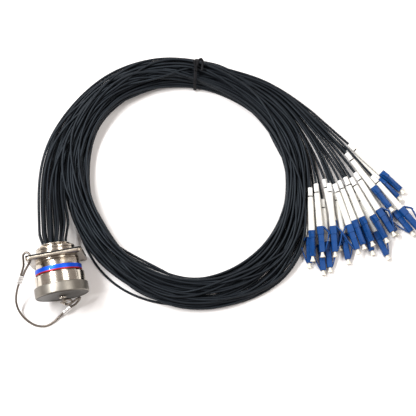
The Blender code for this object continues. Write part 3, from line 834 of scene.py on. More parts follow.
@dataclass
class DustCap:
    """The screw-on cap, its centre screw with an eye, and the small ring (mm)."""

    start: float = 12.9
    rim_from: float = 21.5
    front: float = 30.3
    wall: float = 1.9
    bore_r: float = 18.7
    sleeve_r: float = 20.6
    rim_r: float = 22.2
    screw_r: float = 1.5
    head_r: float = 3.0
    eye_at: float = 35.2
    eye_r: float = 2.3
    eye_half: float = 2.2
    eye_foot: float = 3.4
    eye_bore: float = 1.3
    ring_r: float = 2.6
    ring_wire: float = 0.5
    sides: int = 144

    def cap(self) -> None:
        """Cap: thin smooth sleeve, thicker satin rim, shallow dished front, threaded bore."""
        inside = thread(25.6, 14.4, self.bore_r, -0.45, self.sides)
        deep = self.front - self.wall
        outer = rounded([
            (self.start + 0.4, self.bore_r + 0.5), (self.start, self.bore_r + 0.9),
            (self.start, self.sleeve_r), (self.rim_from, self.sleeve_r),
            (self.rim_from, self.rim_r - 0.5), (self.rim_from + 0.5, self.rim_r),
            (self.front - 1.0, self.rim_r), (self.front, self.rim_r - 1.0),
            (self.front, 20.2), (self.front - 0.25, 19.9), (self.front - 0.25, 4.4),
            (self.front, 4.1), (self.front, self.screw_r + 0.3), (deep, self.screw_r + 0.3),
            (deep, self.bore_r), (26.0, self.bore_r),
        ], 0.22, 3, closed=False)
        profile = joined(self.sides, outer, inside)
        mesh = Shape().grid(revolve(profile, self.sides), ring_u=True).mesh("cap")
        add_piece("cap_dressed", mesh, SATIN, Body.CAP, ["dust_cap"])

    def screw(self) -> None:
        """Screw through the cap: flat head inside, collar and flattened eye outside."""
        deep = self.front - self.wall
        profile = rounded([
            (deep - 1.7, 0.0), (deep - 1.7, self.head_r), (deep - 0.3, self.head_r),
            (deep - 0.3, self.screw_r), (self.front + 0.3, self.screw_r),
            (self.front + 0.3, self.head_r), (self.front + 1.4, self.head_r),
            (self.front + 2.0, self.head_r - 0.6), (self.front + 2.0, 0.0)],
            0.2, 3, closed=False)
        shape = Shape().grid(revolve(profile, 64), ring_u=True, ring_v=False)
        ahead, across = np.cos(turns(64)), np.sin(turns(64))
        foot = ahead < 0
        a = self.eye_at + np.where(
            foot, -self.eye_foot * np.clip(-2.2 * ahead, 0, 1), self.eye_r * ahead)
        z = self.eye_half * np.where(
            foot, np.sign(across) * np.minimum(1, np.abs(across) * 1.25), across)
        hole_a, hole_z = self.eye_at + self.eye_bore * ahead, self.eye_bore * across
        loops = []
        for px, pa, pz, grow in ((-0.8, a, z, 0.94), (-0.6, a, z, 1.0), (0.6, a, z, 1.0),
                                 (0.8, a, z, 0.94), (0.8, hole_a, hole_z, 1.1),
                                 (0.6, hole_a, hole_z, 1.0), (-0.6, hole_a, hole_z, 1.0),
                                 (-0.8, hole_a, hole_z, 1.1)):
            loops.append(np.stack([np.full_like(pa, px),
                                   AXIS_Y - (self.eye_at + (pa - self.eye_at) * grow),
                                   AXIS_Z + pz * grow], axis=1))
        shape.grid(np.stack(loops), ring_u=True)
        add_piece("cap_screw_dressed", shape.mesh("cap_screw_dressed"), SMALL_STEEL,
                  Body.SWIVEL, ["cap_screw"])

    def ring(self) -> None:
        """Ring through the eye: a torus that hangs from it."""
        turn = turns(64)[:, None]
        tube = turns(16)
        reach = self.ring_r + self.ring_wire * np.cos(tube)
        level = AXIS_Y - self.eye_at + self.ring_wire * np.sin(tube)
        grid = np.stack([reach * np.sin(turn), np.broadcast_to(level, (64, 16)),
                         AXIS_Z - self.ring_r + reach * np.cos(turn)], axis=-1)
        mesh = Shape().grid(grid, ring_u=True).mesh("ring")
        add_piece("tether_ring_dressed", mesh, SMALL_STEEL, Body.SWIVEL,
                  ["tether_ring"], 180.0)

    def build(self) -> None:
        """Makes every piece of the cap."""
        self.cap()
        self.screw()
        self.ring()


# Lanyard

@dataclass
class Lanyard:
    """Wire rope from the flange to the cap, a loop and a pressed crimp at each end (mm)."""

    rope_r: float = 0.95
    lay: float = 8.0
    crimp_half: tuple[float, float, float] = (4.25, 2.1, 1.3)
    flange_loop: tuple = (
        (-28.5, 3.5, 28.8), (-25.6, 6.4, 33.8), (-21.8, 9.4, 39.3), (-19.3, 12.2, 41.9),
        (-19.05, 15.0, 42.05), (-19.4, 17.4, 41.9), (-20.8, 19.1, 41.4), (-23.0, 19.2, 40.8),
        (-24.8, 17.4, 40.0), (-25.2, 14.0, 38.9), (-26.0, 10.2, 36.4), (-28.1, 6.9, 32.6),
        (-30.2, 4.2, 29.2))
    middle: tuple = (
        (-33.6, -1.4, 23.0), (-35.9, -4.4, 19.4), (-38.6, -9.2, 13.6), (-40.1, -14.6, 8.4),
        (-39.2, -21.0, 4.4), (-35.4, -28.0, 1.9), (-28.6, -34.2, 1.1), (-20.6, -36.6, 1.0),
        (-13.0, -34.6, 1.3), (-7.6, -31.2, 2.2), (-3.8, -29.1, 3.6))
    cap_loop: tuple = (
        (3.3, -24.0, 7.6), (4.9, -22.9, 9.4), (5.6, -21.6, 13.0), (4.0, -20.5, 16.6),
        (1.4, -20.7, 19.0), (0.0, -22.95, 19.35), (1.8, -24.9, 19.6), (6.2, -24.4, 20.4),
        (10.8, -22.0, 19.8), (13.2, -20.8, 17.0), (12.0, -22.0, 13.4), (8.4, -24.3, 10.2),
        (4.0, -25.7, 7.6))

    def rope(self, name: str, points: tuple, body: Optional[Body], nodes: list[str]
             ) -> tuple[bpy.types.Object, np.ndarray]:
        """Rope of six strands laid round each other.

        r = R (0.80 + 0.20 |cos(3 (turn + 2 pi s / lay))|).

        Args:
            name: piece name.
            points: route in millimetres.
            body: body it rides on, or None.
            nodes: CAD nodes it stands for.

        Returns:
            The piece and its centreline.
        """
        line = through(points, 0.45)
        far = np.linspace(0, length_of(line), len(line))[:, None]
        turn = turns(24)[None]
        crown = np.abs(np.cos(3 * (turn + 2 * np.pi * far / self.lay)))
        radius = self.rope_r * (0.80 + 0.20 * crown)
        outline = np.stack([radius * np.cos(turn), radius * np.sin(turn)], axis=-1)
        mesh = Shape().grid(carry(line, outline, (0.13, 0.07, 1.0)), caps=True).mesh(name)
        mark = mesh.attributes.new("crown", "FLOAT", "POINT")
        value = np.ones(len(mesh.vertices), np.float32)
        value[:crown.size] = crown.reshape(-1)[:len(mesh.vertices)]
        mark.data.foreach_set("value", value)
        piece = add_piece(name, mesh, ROPE, body, nodes, 180.0)
        return piece, line

    def crimp(self, name: str, centre: Sequence[float], along: Sequence[float],
              across: Sequence[float], body: Body) -> bpy.types.Object:
        """Pressed sleeve: an oval bar with rounded ends, bitten in two bands by the tool.

        A bite takes 0.05 off its half width and 0.2 off its half height.
        """
        half_length, half_width, half_height = self.crimp_half
        ahead = np.asarray(along, float) / np.linalg.norm(along)
        wide = np.asarray(across, float) - ahead * np.dot(across, ahead)
        wide /= np.linalg.norm(wide)
        thick = np.cross(ahead, wide)
        s = np.linspace(-1, 1, 49)
        bite = np.exp(-((np.abs(s) - 0.42) / 0.13) ** 4)
        end = np.sqrt(np.clip(1 - np.clip((np.abs(s) - 0.9) / 0.1, 0, 1) ** 2 * 0.5, 0, 1))
        turn = turns(36)[None]
        squash = np.sign(np.cos(turn)) * np.abs(np.cos(turn)) ** 0.8
        u = (half_width - 0.05 * bite)[:, None] * end[:, None] * squash
        v = (half_height - 0.2 * bite)[:, None] * end[:, None] * np.sin(turn)
        grid = (np.asarray(centre) + ahead * half_length * s[:, None, None]
                + wide * u[..., None] + thick * v[..., None])
        mesh = Shape().grid(grid, caps=True).mesh(name)
        return add_piece(name, mesh, CRIMP, body, [name.replace("_dressed", "")])

    def build(self) -> None:
        first = self.crimp("crimp_a_dressed", (-31.5, 1.2, 26.0), (-0.467, -0.575, -0.667),
                           (0.884, -0.304, -0.352), Body.RECEPTACLE)
        second = self.crimp("crimp_b_dressed", (0.0, -27.0, 5.5), (0.811, 0.418, 0.410),
                            (-0.46, 0.888, 0.0), Body.SWIVEL)
        rope, line = self.rope("lanyard_rope", self.middle, None, ["lanyard"])
        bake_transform(rope)
        for name, points, body, node in (
                ("flange_loop_rope", self.flange_loop, Body.RECEPTACLE, "flange_loop"),
                ("cap_loop_rope", self.cap_loop, Body.SWIVEL, "cap_loop")):
            loop, line = self.rope(name, points, body, [node])


# Leads and plugs

@dataclass(frozen=True)
class Lead:
    """One lead: its plug's front, heading, rise and latch, and its route in the fan (mm)."""

    front: tuple[float, float, float]
    heading: float
    rise: float
    latch: Latch
    fan: tuple[tuple[float, float, float], ...]

    def ahead(self) -> np.ndarray:
        """Direction that the plug points in."""
        turn, lift = math.radians(self.heading), math.radians(self.rise)
        return np.array([math.cos(lift) * math.cos(turn), math.cos(lift) * math.sin(turn),
                         math.sin(lift)])

    def at(self, back: float) -> np.ndarray:
        """Point on the plug's axis, `back` mm behind its front."""
        return np.asarray(self.front) - self.ahead() * back


LEADS: tuple[Lead, ...] = (
    Lead((206.3, -25.1, 3.0), -100.7, 0.0, Latch.LEFT, (
        (164.4, 159.0, 1.1), (177.5, 151.2, 1.0), (186.6, 144.2, 1.0), (197.8, 133.8, 1.0),
        (204.7, 124.7, 1.0), (212.0, 111.2, 1.0), (216.4, 100.7, 1.0), (220.4, 85.9, 1.0),
        (222.0, 74.6, 1.0), (222.1, 59.3, 1.0), (220.7, 48.0, 1.5), (217.3, 33.2, 3.0))),
    Lead((216.4, -33.3, 3.0), -95.4, 0.0, Latch.LEFT, (
        (164.4, 159.0, 3.2), (178.5, 151.5, 2.8), (188.0, 144.1, 2.8), (198.5, 132.1, 3.0),
        (205.6, 122.4, 3.0), (213.2, 108.4, 3.0), (217.5, 97.2, 3.2), (221.1, 81.6, 3.0),
        (222.3, 69.7, 3.0), (222.9, 53.7, 2.9), (222.8, 41.7, 2.5), (222.0, 25.7, 3.0))),
    Lead((209.4, -20.9, 9.0), -99.4, 0.0, Latch.UP, (
        (164.4, 159.0, 9.7), (177.1, 151.5, 9.1), (188.7, 142.3, 9.1), (198.8, 131.6, 9.4),
        (207.4, 119.6, 9.2), (214.1, 106.4, 9.2), (217.9, 96.0, 9.3), (221.1, 81.6, 8.5),
        (222.3, 66.9, 8.0), (221.4, 52.2, 8.2), (219.1, 37.6, 9.0))),
    Lead((222.5, -31.9, 3.0), -95.4, 0.0, Latch.RIGHT, (
        (164.4, 159.0, 5.4), (178.0, 150.9, 4.8), (187.4, 143.5, 4.8), (198.4, 132.1, 5.1),
        (205.5, 122.5, 5.2), (213.1, 108.6, 5.1), (217.4, 97.5, 5.2), (221.1, 82.1, 5.1),
        (223.2, 70.4, 4.9), (225.7, 54.7, 3.6), (227.5, 43.0, 2.9), (228.1, 27.1, 3.0))),
    Lead((218.1, -18.9, 8.9), -96.5, -0.3, Latch.RIGHT, (
        (164.4, 159.0, 7.5), (176.9, 151.6, 7.0), (188.4, 142.6, 6.9), (198.4, 132.1, 7.3),
        (206.9, 120.3, 7.2), (213.7, 107.4, 7.2), (218.0, 97.4, 7.3), (222.1, 83.4, 6.8),
        (224.2, 69.0, 7.0), (225.2, 54.5, 8.0), (224.8, 40.0, 9.2))),
    Lead((233.6, -15.3, 3.0), -89.6, -0.4, Latch.PRESSED, (
        (165.3, 160.9, 1.1), (177.8, 153.5, 1.0), (189.3, 144.6, 1.0), (199.9, 134.7, 1.0),
        (209.2, 123.5, 1.0), (215.5, 110.4, 1.0), (218.8, 100.0, 1.0), (222.5, 86.0, 1.0),
        (226.4, 72.0, 1.1), (230.9, 58.2, 2.1), (233.2, 44.0, 3.4))),
    Lead((228.6, -20.6, 8.9), -96.9, -0.5, Latch.RIGHT, (
        (165.3, 160.9, 9.7), (178.4, 153.3, 8.9), (187.4, 146.4, 8.8), (198.2, 135.8, 9.1),
        (205.2, 126.8, 8.8), (213.0, 113.9, 8.7), (217.6, 103.5, 8.6), (222.4, 89.1, 8.6),
        (225.5, 78.2, 8.3), (230.6, 63.9, 8.3), (234.2, 53.2, 8.6), (235.7, 38.3, 9.4))),
    Lead((238.8, -27.8, 3.0), -91.2, -0.4, Latch.RIGHT, (
        (165.3, 160.9, 3.2), (179.5, 153.6, 2.9), (188.9, 146.2, 2.8), (199.2, 134.1, 2.9),
        (206.5, 124.6, 2.4), (214.4, 110.8, 2.8), (219.0, 99.7, 3.2), (223.9, 84.6, 3.0),
        (227.7, 73.2, 2.7), (233.6, 58.4, 2.6), (237.7, 47.1, 2.8), (240.0, 31.5, 3.4))),
    Lead((247.3, -21.8, 8.9), -83.0, -0.5, Latch.LEFT, (
        (165.3, 160.9, 7.5), (178.5, 153.1, 6.7), (187.6, 146.0, 6.7), (198.6, 135.2, 7.1),
        (205.7, 126.2, 6.8), (213.4, 112.9, 6.7), (218.0, 102.3, 6.4), (223.7, 88.0, 6.2),
        (228.0, 77.4, 6.7), (233.5, 63.0, 7.6), (237.0, 52.0, 8.4), (240.1, 37.1, 9.4))),
    Lead((253.1, -18.8, 8.9), -82.2, 3.0, Latch.PRESSED, (
        (165.3, 160.9, 5.4), (178.4, 153.0, 4.6), (187.6, 146.1, 4.5), (198.5, 135.4, 4.9),
        (205.4, 126.2, 4.7), (213.5, 113.3, 4.6), (219.2, 103.3, 4.7), (225.0, 89.2, 3.4),
        (229.9, 78.8, 3.1), (236.8, 65.1, 3.6), (241.2, 54.6, 4.3), (245.1, 39.9, 5.8))),
    Lead((260.1, -24.2, 3.0), -81.8, 0.0, Latch.PRESSED, (
        (166.3, 162.8, 1.1), (180.2, 154.5, 1.0), (189.8, 146.9, 1.0), (201.7, 135.9, 1.0),
        (209.5, 126.5, 1.0), (217.0, 112.1, 1.0), (221.0, 100.6, 1.0), (227.9, 85.8, 1.0),
        (233.9, 75.2, 1.0), (241.9, 61.0, 1.5), (247.1, 50.0, 2.0), (251.6, 34.5, 3.0))),
    Lead((260.5, -17.3, 8.9), -79.9, -0.9, Latch.UP, (
        (166.3, 162.8, 7.5), (179.6, 155.0, 6.8), (188.8, 147.8, 6.7), (199.9, 136.9, 6.9),
        (207.2, 127.8, 7.0), (214.9, 114.3, 7.3), (219.7, 103.7, 7.2), (226.2, 89.6, 7.8),
        (232.0, 79.5, 8.3), (240.0, 66.1, 8.6), (245.3, 55.8, 9.1), (250.1, 41.1, 9.8))),
    Lead((271.5, -30.4, 3.0), -76.6, 0.0, Latch.RIGHT, (
        (166.3, 162.8, 3.2), (177.8, 157.0, 2.9), (188.3, 149.6, 2.6), (199.8, 136.8, 3.0),
        (207.5, 126.5, 3.0), (214.4, 115.6, 3.1), (222.7, 100.6, 2.4), (228.9, 89.4, 1.1),
        (235.3, 78.2, 1.0), (241.5, 66.9, 1.2), (247.3, 55.4, 1.6), (254.0, 39.6, 2.4),
        (257.8, 27.3, 3.0))),
    Lead((272.3, -16.8, 9.5), -73.0, 1.4, Latch.UP, (
        (166.3, 162.8, 5.4), (179.9, 154.8, 4.6), (189.3, 147.5, 4.7), (200.5, 136.2, 4.9),
        (207.5, 126.6, 5.1), (216.0, 113.2, 5.2), (221.8, 102.9, 5.2), (229.7, 89.1, 5.5),
        (235.9, 78.9, 5.9), (243.8, 65.2, 6.3), (249.2, 54.6, 6.9), (255.0, 39.9, 8.1))),
    Lead((279.4, -12.3, 8.9), -69.9, -0.9, Latch.RIGHT, (
        (166.3, 162.8, 9.7), (179.8, 154.9, 9.0), (189.2, 147.6, 8.9), (200.3, 136.4, 9.0),
        (207.5, 127.1, 9.1), (215.9, 113.8, 9.1), (222.0, 103.6, 8.3), (230.8, 90.5, 8.1),
        (237.6, 80.9, 8.4), (246.4, 67.8, 8.7), (252.4, 57.6, 9.1), (259.0, 43.4, 9.8))),
    Lead((283.0, -11.9, 3.0), -68.1, 0.0, Latch.PRESSED, (
        (167.2, 164.6, 3.2), (181.6, 157.7, 2.5), (191.4, 150.5, 2.4), (202.9, 139.3, 2.7),
        (210.1, 129.6, 2.9), (217.3, 115.3, 2.4), (222.7, 104.5, 1.7), (231.2, 90.8, 2.1),
        (238.1, 81.0, 2.2), (247.3, 67.7, 2.1), (253.7, 57.5, 2.3), (260.9, 43.1, 3.0))),
    Lead((281.7, 8.5, 8.9), -63.8, 0.0, Latch.PRESSED, (
        (167.2, 164.6, 9.7), (179.5, 157.8, 8.8), (190.6, 149.2, 8.3), (200.5, 139.2, 8.0),
        (209.3, 128.1, 7.9), (216.9, 116.3, 7.6), (223.0, 107.6, 7.5), (231.8, 96.6, 7.6),
        (240.5, 85.5, 7.8), (248.5, 73.9, 8.1), (255.5, 61.7, 8.9))),
    Lead((291.7, 17.1, 3.0), -54.4, 0.0, Latch.UP, (
        (167.2, 164.6, 5.4), (179.3, 157.8, 4.5), (190.5, 149.6, 4.2), (200.1, 139.6, 3.8),
        (208.4, 128.5, 3.8), (215.9, 116.8, 4.6), (221.9, 108.3, 3.7), (230.7, 97.6, 2.8),
        (239.9, 87.1, 2.2), (248.8, 76.4, 2.3), (257.2, 65.3, 3.0))),
    Lead((296.2, -14.2, 3.0), -63.1, 0.0, Latch.LEFT, (
        (167.2, 164.6, 1.1), (178.2, 158.4, 1.0), (188.4, 151.0, 1.0), (200.9, 139.6, 1.0),
        (209.1, 130.1, 1.0), (216.6, 119.9, 1.0), (224.7, 105.1, 1.0), (231.5, 94.4, 1.0),
        (239.1, 84.3, 1.0), (246.4, 74.0, 1.1), (253.6, 63.6, 1.5), (263.0, 49.6, 2.3),
        (269.4, 38.7, 3.0))),
    Lead((295.3, 22.7, 3.0), -53.8, -0.2, Latch.UP, (
        (167.2, 164.6, 7.5), (179.1, 158.0, 6.7), (189.9, 149.6, 6.3), (199.7, 140.1, 5.9),
        (208.4, 129.5, 5.7), (217.1, 118.9, 5.4), (224.0, 111.4, 4.8), (233.5, 101.6, 3.8),
        (242.8, 91.6, 3.0), (251.8, 81.3, 2.7), (260.3, 70.6, 3.2))),
    Lead((301.7, -13.4, 9.1), -60.8, 0.4, Latch.RIGHT, (
        (168.1, 166.5, 1.1), (179.5, 160.5, 1.0), (190.3, 153.4, 1.0), (202.8, 141.5, 1.0),
        (210.8, 131.4, 1.6), (217.8, 120.5, 2.7), (226.8, 105.8, 3.0), (234.7, 95.6, 4.1),
        (242.5, 85.4, 5.0), (250.2, 75.0, 5.8), (257.6, 64.4, 6.6), (266.5, 49.6, 7.8),
        (272.8, 38.4, 8.7))),
)


def about_coil(points: np.ndarray) -> tuple[np.ndarray, np.ndarray]:
    """Angle about the coil's middle, in degrees, and distance from it of points (n, 2 or 3)."""
    off = points[:, :2] - np.array(COIL_CENTRE)
    return np.degrees(np.arctan2(off[:, 1], off[:, 0])), np.hypot(off[:, 0], off[:, 1])


@dataclass
class CoilOfLeads:
    """All the leads: rear seal, tail, two and a third turns of the coil, and the fan (mm).

    A station is a step of so many degrees about the coil, counted from first_angle at
    the seal. One turn has `turn` stations, and at the last one the fan begins.
    """

    step: float = 3.0
    first_angle: float = 199.0
    last: int = 285
    turn: int = 120
    tie_angle: float = 75.5
    seed: int = 7
    spacing: float = 2.1
    tail_spacing: float = 2.35
    fan_spacing: float = 2.12
    tie_lift: float = 0.45

    # Tail by its angle about the coil: middle, half width, height, half height.
    TAIL = np.array([
        (199, 126.0, 10.4, 23.0, 10.2), (196, 124.2, 12.4, 21.4, 9.2),
        (193, 121.2, 13.0, 18.8, 8.0), (190, 119.6, 12.2, 15.6, 6.8),
        (186, 117.8, 10.8, 12.2, 6.2), (180, 116.6, 10.6, 9.0, 5.7),
        (174, 116.0, 10.8, 7.2, 5.4), (168, 115.7, 10.8, 6.4, 5.2),
        (160, 115.2, 10.4, 6.2, 5.2), (148, 114.2, 9.6, 6.2, 5.2), (136, 112.0, 8.0, 6.4, 5.2)])

    # Box of the group of leads by station: inner, outer, lowest, highest.
    BOXES = np.array([
        (21, 104.4, 119.6, 1.2, 11.4), (27, 102.6, 116.8, 2.2, 12.2), (33, 97.5, 111.0, 6.4, 14.0),
        (39, 89.0, 105.4, 8.4, 14.8), (45, 81.8, 99.0, 8.6, 14.6), (52, 79.6, 97.8, 8.2, 14.2),
        (61, 81.6, 101.4, 7.4, 13.4), (73, 86.2, 101.4, 6.6, 13.2), (80, 87.0, 112.4, 4.6, 9.8),
        (86, 87.0, 120.8, 3.6, 7.4), (92, 87.4, 117.8, 4.0, 8.0), (98, 88.2, 113.4, 4.8, 9.2),
        (108, 87.0, 103.4, 6.0, 11.4), (118, 82.6, 102.0, 7.2, 13.0), (127, 83.6, 102.6, 8.0, 14.0),
        (135, 89.4, 103.2, 8.2, 14.2), (142, 91.8, 103.4, 8.2, 14.4), (147, 89.6, 101.0, 8.0, 14.2),
        (153, 85.0, 97.0, 4.4, 12.6), (159, 82.6, 95.6, 1.4, 9.4), (165, 81.2, 93.4, 1.1, 8.6),
        (172, 79.6, 97.4, 1.1, 7.6), (181, 81.6, 102.4, 1.1, 7.2), (193, 86.2, 101.4, 1.1, 7.2),
        (200, 87.0, 112.6, 1.1, 5.0), (206, 87.0, 120.8, 1.1, 4.0), (212, 87.4, 117.8, 1.1, 4.4),
        (218, 88.4, 113.4, 1.1, 5.2), (228, 87.4, 103.2, 1.1, 6.2), (238, 81.6, 102.0, 1.1, 7.0),
        (247, 82.8, 104.0, 1.1, 7.2), (262, 92.0, 104.0, 1.1, 8.0), (267, 89.8, 103.4, 1.1, 8.0),
        (273, 88.0, 104.0, 1.1, 8.2), (279, 89.6, 103.0, 1.1, 9.0), (285, 94.4, 102.7, 1.1, 9.7)])

    # Hole in the middle of the coil: least radius of a lead, by the angle about the coil.
    HOLE = np.array([
        (-161, 81.4), (-144, 79.6), (-126, 79.6), (-114, 82.2), (-102, 86.4), (-84, 87.6),
        (-60, 86.8), (-30, 85.8), (-6, 84.0), (12, 81.0), (36, 79.0), (54, 78.6), (72, 80.8),
        (96, 82.6), (114, 86.0), (129, 90.4), (144, 87.4), (162, 85.2), (180, 84.4), (199, 81.4)])

    # Leads that stray from the group: lead counted from 0, station, half length in
    # stations, radius, height.
    STRAYS = (
        (12, 229, 14, 110.6, 1.1), (7, 229, 9, 79.6, 1.1), (3, 227, 9, 81.8, 1.1),
        (16, 182, 9, 79.0, 1.1), (5, 150, 9, 84.6, 9.0), (16, 27, 8, 97.0, 16.2),
        (18, 21, 8, 103.0, 16.6), (19, 34, 9, 89.0, 15.8), (9, 140, 9, 107.0, 16.4),
        (4, 147, 10, 103.0, 17.0), (12, 133, 9, 108.0, 15.8), (10, 72, 10, 87.0, 13.4),
        (19, 92, 10, 93.0, 11.6), (3, 84, 10, 107.0, 11.0), (7, 102, 9, 104.0, 12.0),
        (14, 112, 10, 90.0, 14.4), (16, 62, 9, 84.0, 15.6))

    def angles(self) -> np.ndarray:
        """Angle about the coil at each station, in degrees."""
        return self.first_angle - self.step * np.arange(self.last + 1)

    def from_tie(self) -> np.ndarray:
        """How far each station is from the tie, in degrees about the coil."""
        return np.abs((self.angles() - self.tie_angle + 180) % 360 - 180)

    def holes(self) -> np.ndarray:
        """Offsets (x, z) of the leads in the seal: rings of 12, 7 and 2, sorted by x."""
        points = []
        for count, radius, lead_in in ((12, 9.6, 0.13), (7, 5.4, 0.3), (2, 1.7, 0.9)):
            t = turns(count) + lead_in
            points.append(radius * np.stack([np.cos(t), np.sin(t)], axis=1))
        spots = np.concatenate(points)
        return spots[np.argsort(spots[:, 0], kind="stable")]

    def drawn_in(self, points: Sequence[Sequence[float]]) -> np.ndarray:
        """Points of the fan's first part moved in to the coil: r less 8.4 S((turn - 30) / 34).

        turn is the angle about the coil in degrees, and S(t) = t^2 (3 - 2t) within 0 to 1.
        """
        p = np.array(points, float)
        turn, reach = about_coil(p)
        share = np.clip((turn - 30.0) / 34.0, 0, 1)
        less = 8.4 * share * share * (3 - 2 * share)
        p[:, :2] -= (p[:, :2] - np.array(COIL_CENTRE)) / reach[:, None] * less[:, None]
        return p

    def order(self) -> np.ndarray:
        """Leads sorted by where they leave the coil: from the inside out, then upwards."""
        start = np.array([lead.fan[0] for lead in LEADS])
        return np.lexsort((start[:, 2], np.round(about_coil(start)[1])))

    def lanes(self) -> tuple[np.ndarray, np.ndarray]:
        """Share of the box, across and up, that each lead keeps.

        They stand in columns of four, with every second row set out by 0.35 of a column.
        """
        rank = np.empty(len(LEADS), int)
        rank[self.order()] = np.arange(len(LEADS))
        column, row = np.minimum(rank // 4, 4.6), rank % 4
        across = (column + 0.35 * (row % 2)) / 4.7
        return across, row / 3.0

    def seats(self) -> np.ndarray:
        """Offset (x, z) of each lead's hole in the seal: columns of four from the inside out."""
        spots = self.holes()[::-1]
        seat = np.empty((len(LEADS), 2))
        order = self.order()
        for first in range(0, len(LEADS), 4):
            some = spots[first:first + 4]
            seat[order[first:first + 4]] = some[np.argsort(some[:, 1], kind="stable")]
        return seat

    def drift(self, rng: np.random.Generator, count: int, scale: float, every: int
              ) -> np.ndarray:
        """Smooth random wander: knots every few stations, joined by cosine steps.

        Args:
            rng: seeded source.
            count: number of wanders.
            scale: size of a knot.
            every: stations between knots.

        Returns:
            (count, stations) offsets.
        """
        stations = np.arange(self.last + 1)
        knots = rng.uniform(-scale, scale, (count, self.last // every + 3))
        at = stations / every
        low = at.astype(int)
        part = 0.5 - 0.5 * np.cos(np.pi * (at - low))
        return knots[:, low] * (1 - part) + knots[:, low + 1] * part

    def targets(self) -> tuple[np.ndarray, np.ndarray]:
        """Radius and height that each lead is drawn to at each station.

        Returns:
            Two arrays (leads, stations).
        """
        rng = np.random.default_rng(self.seed)
        stations = np.arange(self.last + 1)
        across, up = self.lanes()
        late = stations + self.drift(rng, len(LEADS), 6.5, 24) * np.clip(
            np.minimum(stations - 18, 270 - stations) / 15, 0, 1)
        box = [np.interp(late, self.BOXES[:, 0], self.BOXES[:, k]) for k in range(1, 5)]
        radius = box[0] + across[:, None] * (box[1] - box[0])
        height = box[2] + up[:, None] * (box[3] - box[2])
        rows = np.round(up * 3).astype(int)
        calm = np.clip((stations - 40) / 15, 0, 1) * np.clip((275 - stations) / 15, 0, 1)
        radius += calm * (self.drift(rng, 4, 2.4, 17)[rows]
                          + self.drift(rng, len(LEADS), 2.6, 15))
        height += calm * self.drift(rng, len(LEADS), 1.0, 11)
        inner, outer = (np.interp(stations, self.BOXES[:, 0], self.BOXES[:, k]) for k in (1, 2))
        radius = np.clip(radius, inner - 0.4, outer + 0.4)

        tail = [np.interp(-self.angles(), -self.TAIL[:, 0], self.TAIL[:, k]) for k in range(1, 5)]
        seat = self.seats() / 9.6
        tail_r = tail[0] - seat[:, :1] * tail[1]
        tail_z = tail[2] + seat[:, 1:] * tail[3]
        blend = smooth(np.clip((stations - 14) / 9.0, 0, 1))
        radius = tail_r * (1 - blend) + radius * blend
        height = tail_z * (1 - blend) + height * blend

        start = np.array([self.drawn_in(lead.fan)[0] for lead in LEADS])
        leave = about_coil(start)[1]
        blend = smooth(np.clip((stations - 273) / 12.0, 0, 1))
        radius = radius * (1 - blend) + leave[:, None] * blend
        height = height * (1 - blend) + start[:, 2:] * blend
        for lead, centre, width, reach, level in self.STRAYS:
            pull = np.exp(-((stations - centre) / width) ** 2)
            radius[lead] += pull * (reach - radius[lead])
            height[lead] += pull * (level - height[lead])
        return radius, height

    def settle(self, rounds: int) -> tuple[np.ndarray, np.ndarray]:
        """Leads pushed apart until they lie on and beside each other.

        In each round every pair in the same cross-section that is closer than a lead's
        diameter is moved apart by half of what is missing, each lead is smoothed along
        its length, sinks a little, and is kept above the floor and out of the coil's hole.
        A last pass evens each lead out: (before + 2 here + after) / 4.

        Args:
            rounds: number of rounds.

        Returns:
            Radius and height arrays (leads, stations).
        """
        radius, height = self.targets()
        aim_r, aim_z = radius.copy(), height.copy()
        leads, stations = radius.shape
        section = np.arange(self.turn)[:, None, None]
        station = section + self.turn * np.arange(3)[None, None, :]
        index = np.arange(leads)[None, :, None] * stations + np.minimum(station, stations - 1)
        index = index.reshape(self.turn, -1)
        real = np.broadcast_to(station < stations, (self.turn, leads, 3)).reshape(self.turn, -1)
        slots = np.where(real, index, 0)
        far_away = np.where(real, 0.0, 1e4 + 50.0 * np.arange(real.shape[1]))
        floor = LEAD_R + 0.95 * np.clip(1.6 - self.from_tie() / 6.0, 0, 1)
        around = (self.angles() + 161) % 360 - 161
        inside = np.interp(around, self.HOLE[:, 0], self.HOLE[:, 1])
        fixed = np.zeros(stations, bool)
        fixed[:3] = fixed[-1:] = True
        need = np.full(self.turn, self.spacing)
        need[:12] = self.tail_spacing
        for count in range(rounds):
            loose = count < rounds * 0.55
            for array, aim, pull in ((radius, aim_r, 0.03), (height, aim_z, 0.008)):
                bend = np.zeros_like(array)
                bend[:, 1:-1] = (array[:, :-2] + array[:, 2:]) / 2 - array[:, 1:-1]
                twice = np.zeros_like(array)
                twice[:, 1:-1] = (bend[:, :-2] + bend[:, 2:]) / 2 - bend[:, 1:-1]
                change = -0.45 * twice + 0.10 * bend + (pull if loose else pull * 0.3) * (
                    aim - array)
                array += np.where(fixed, 0.0, change)
            height -= np.where(fixed, 0.0, 0.02 if loose else 0.006)
            for _ in range(2):
                r = radius.reshape(-1)[slots] + far_away
                z = height.reshape(-1)[slots] + far_away
                dr, dz = r[:, :, None] - r[:, None], z[:, :, None] - z[:, None]
                apart = np.sqrt(dr * dr + dz * dz) + 1e-6
                short = np.clip(need[:, None, None] - apart, 0, None)
                short[:, np.arange(short.shape[1]), np.arange(short.shape[1])] = 0.0
                share = 0.5 * short / apart
                busy = np.maximum((short > 0).sum(axis=2), 1) ** 0.5
                for array, part in ((radius, dr), (height, dz)):
                    push = (share * part).sum(axis=2) / busy * 1.25
                    flat = np.zeros(leads * stations)
                    np.add.at(flat, slots[real], push[real])
                    array += np.where(fixed, 0.0, flat.reshape(leads, stations))
                height[:] = np.maximum(height, np.where(fixed, height, floor))
                radius[:, 40:] = np.maximum(radius[:, 40:], inside[40:])
        for array in (radius, height):
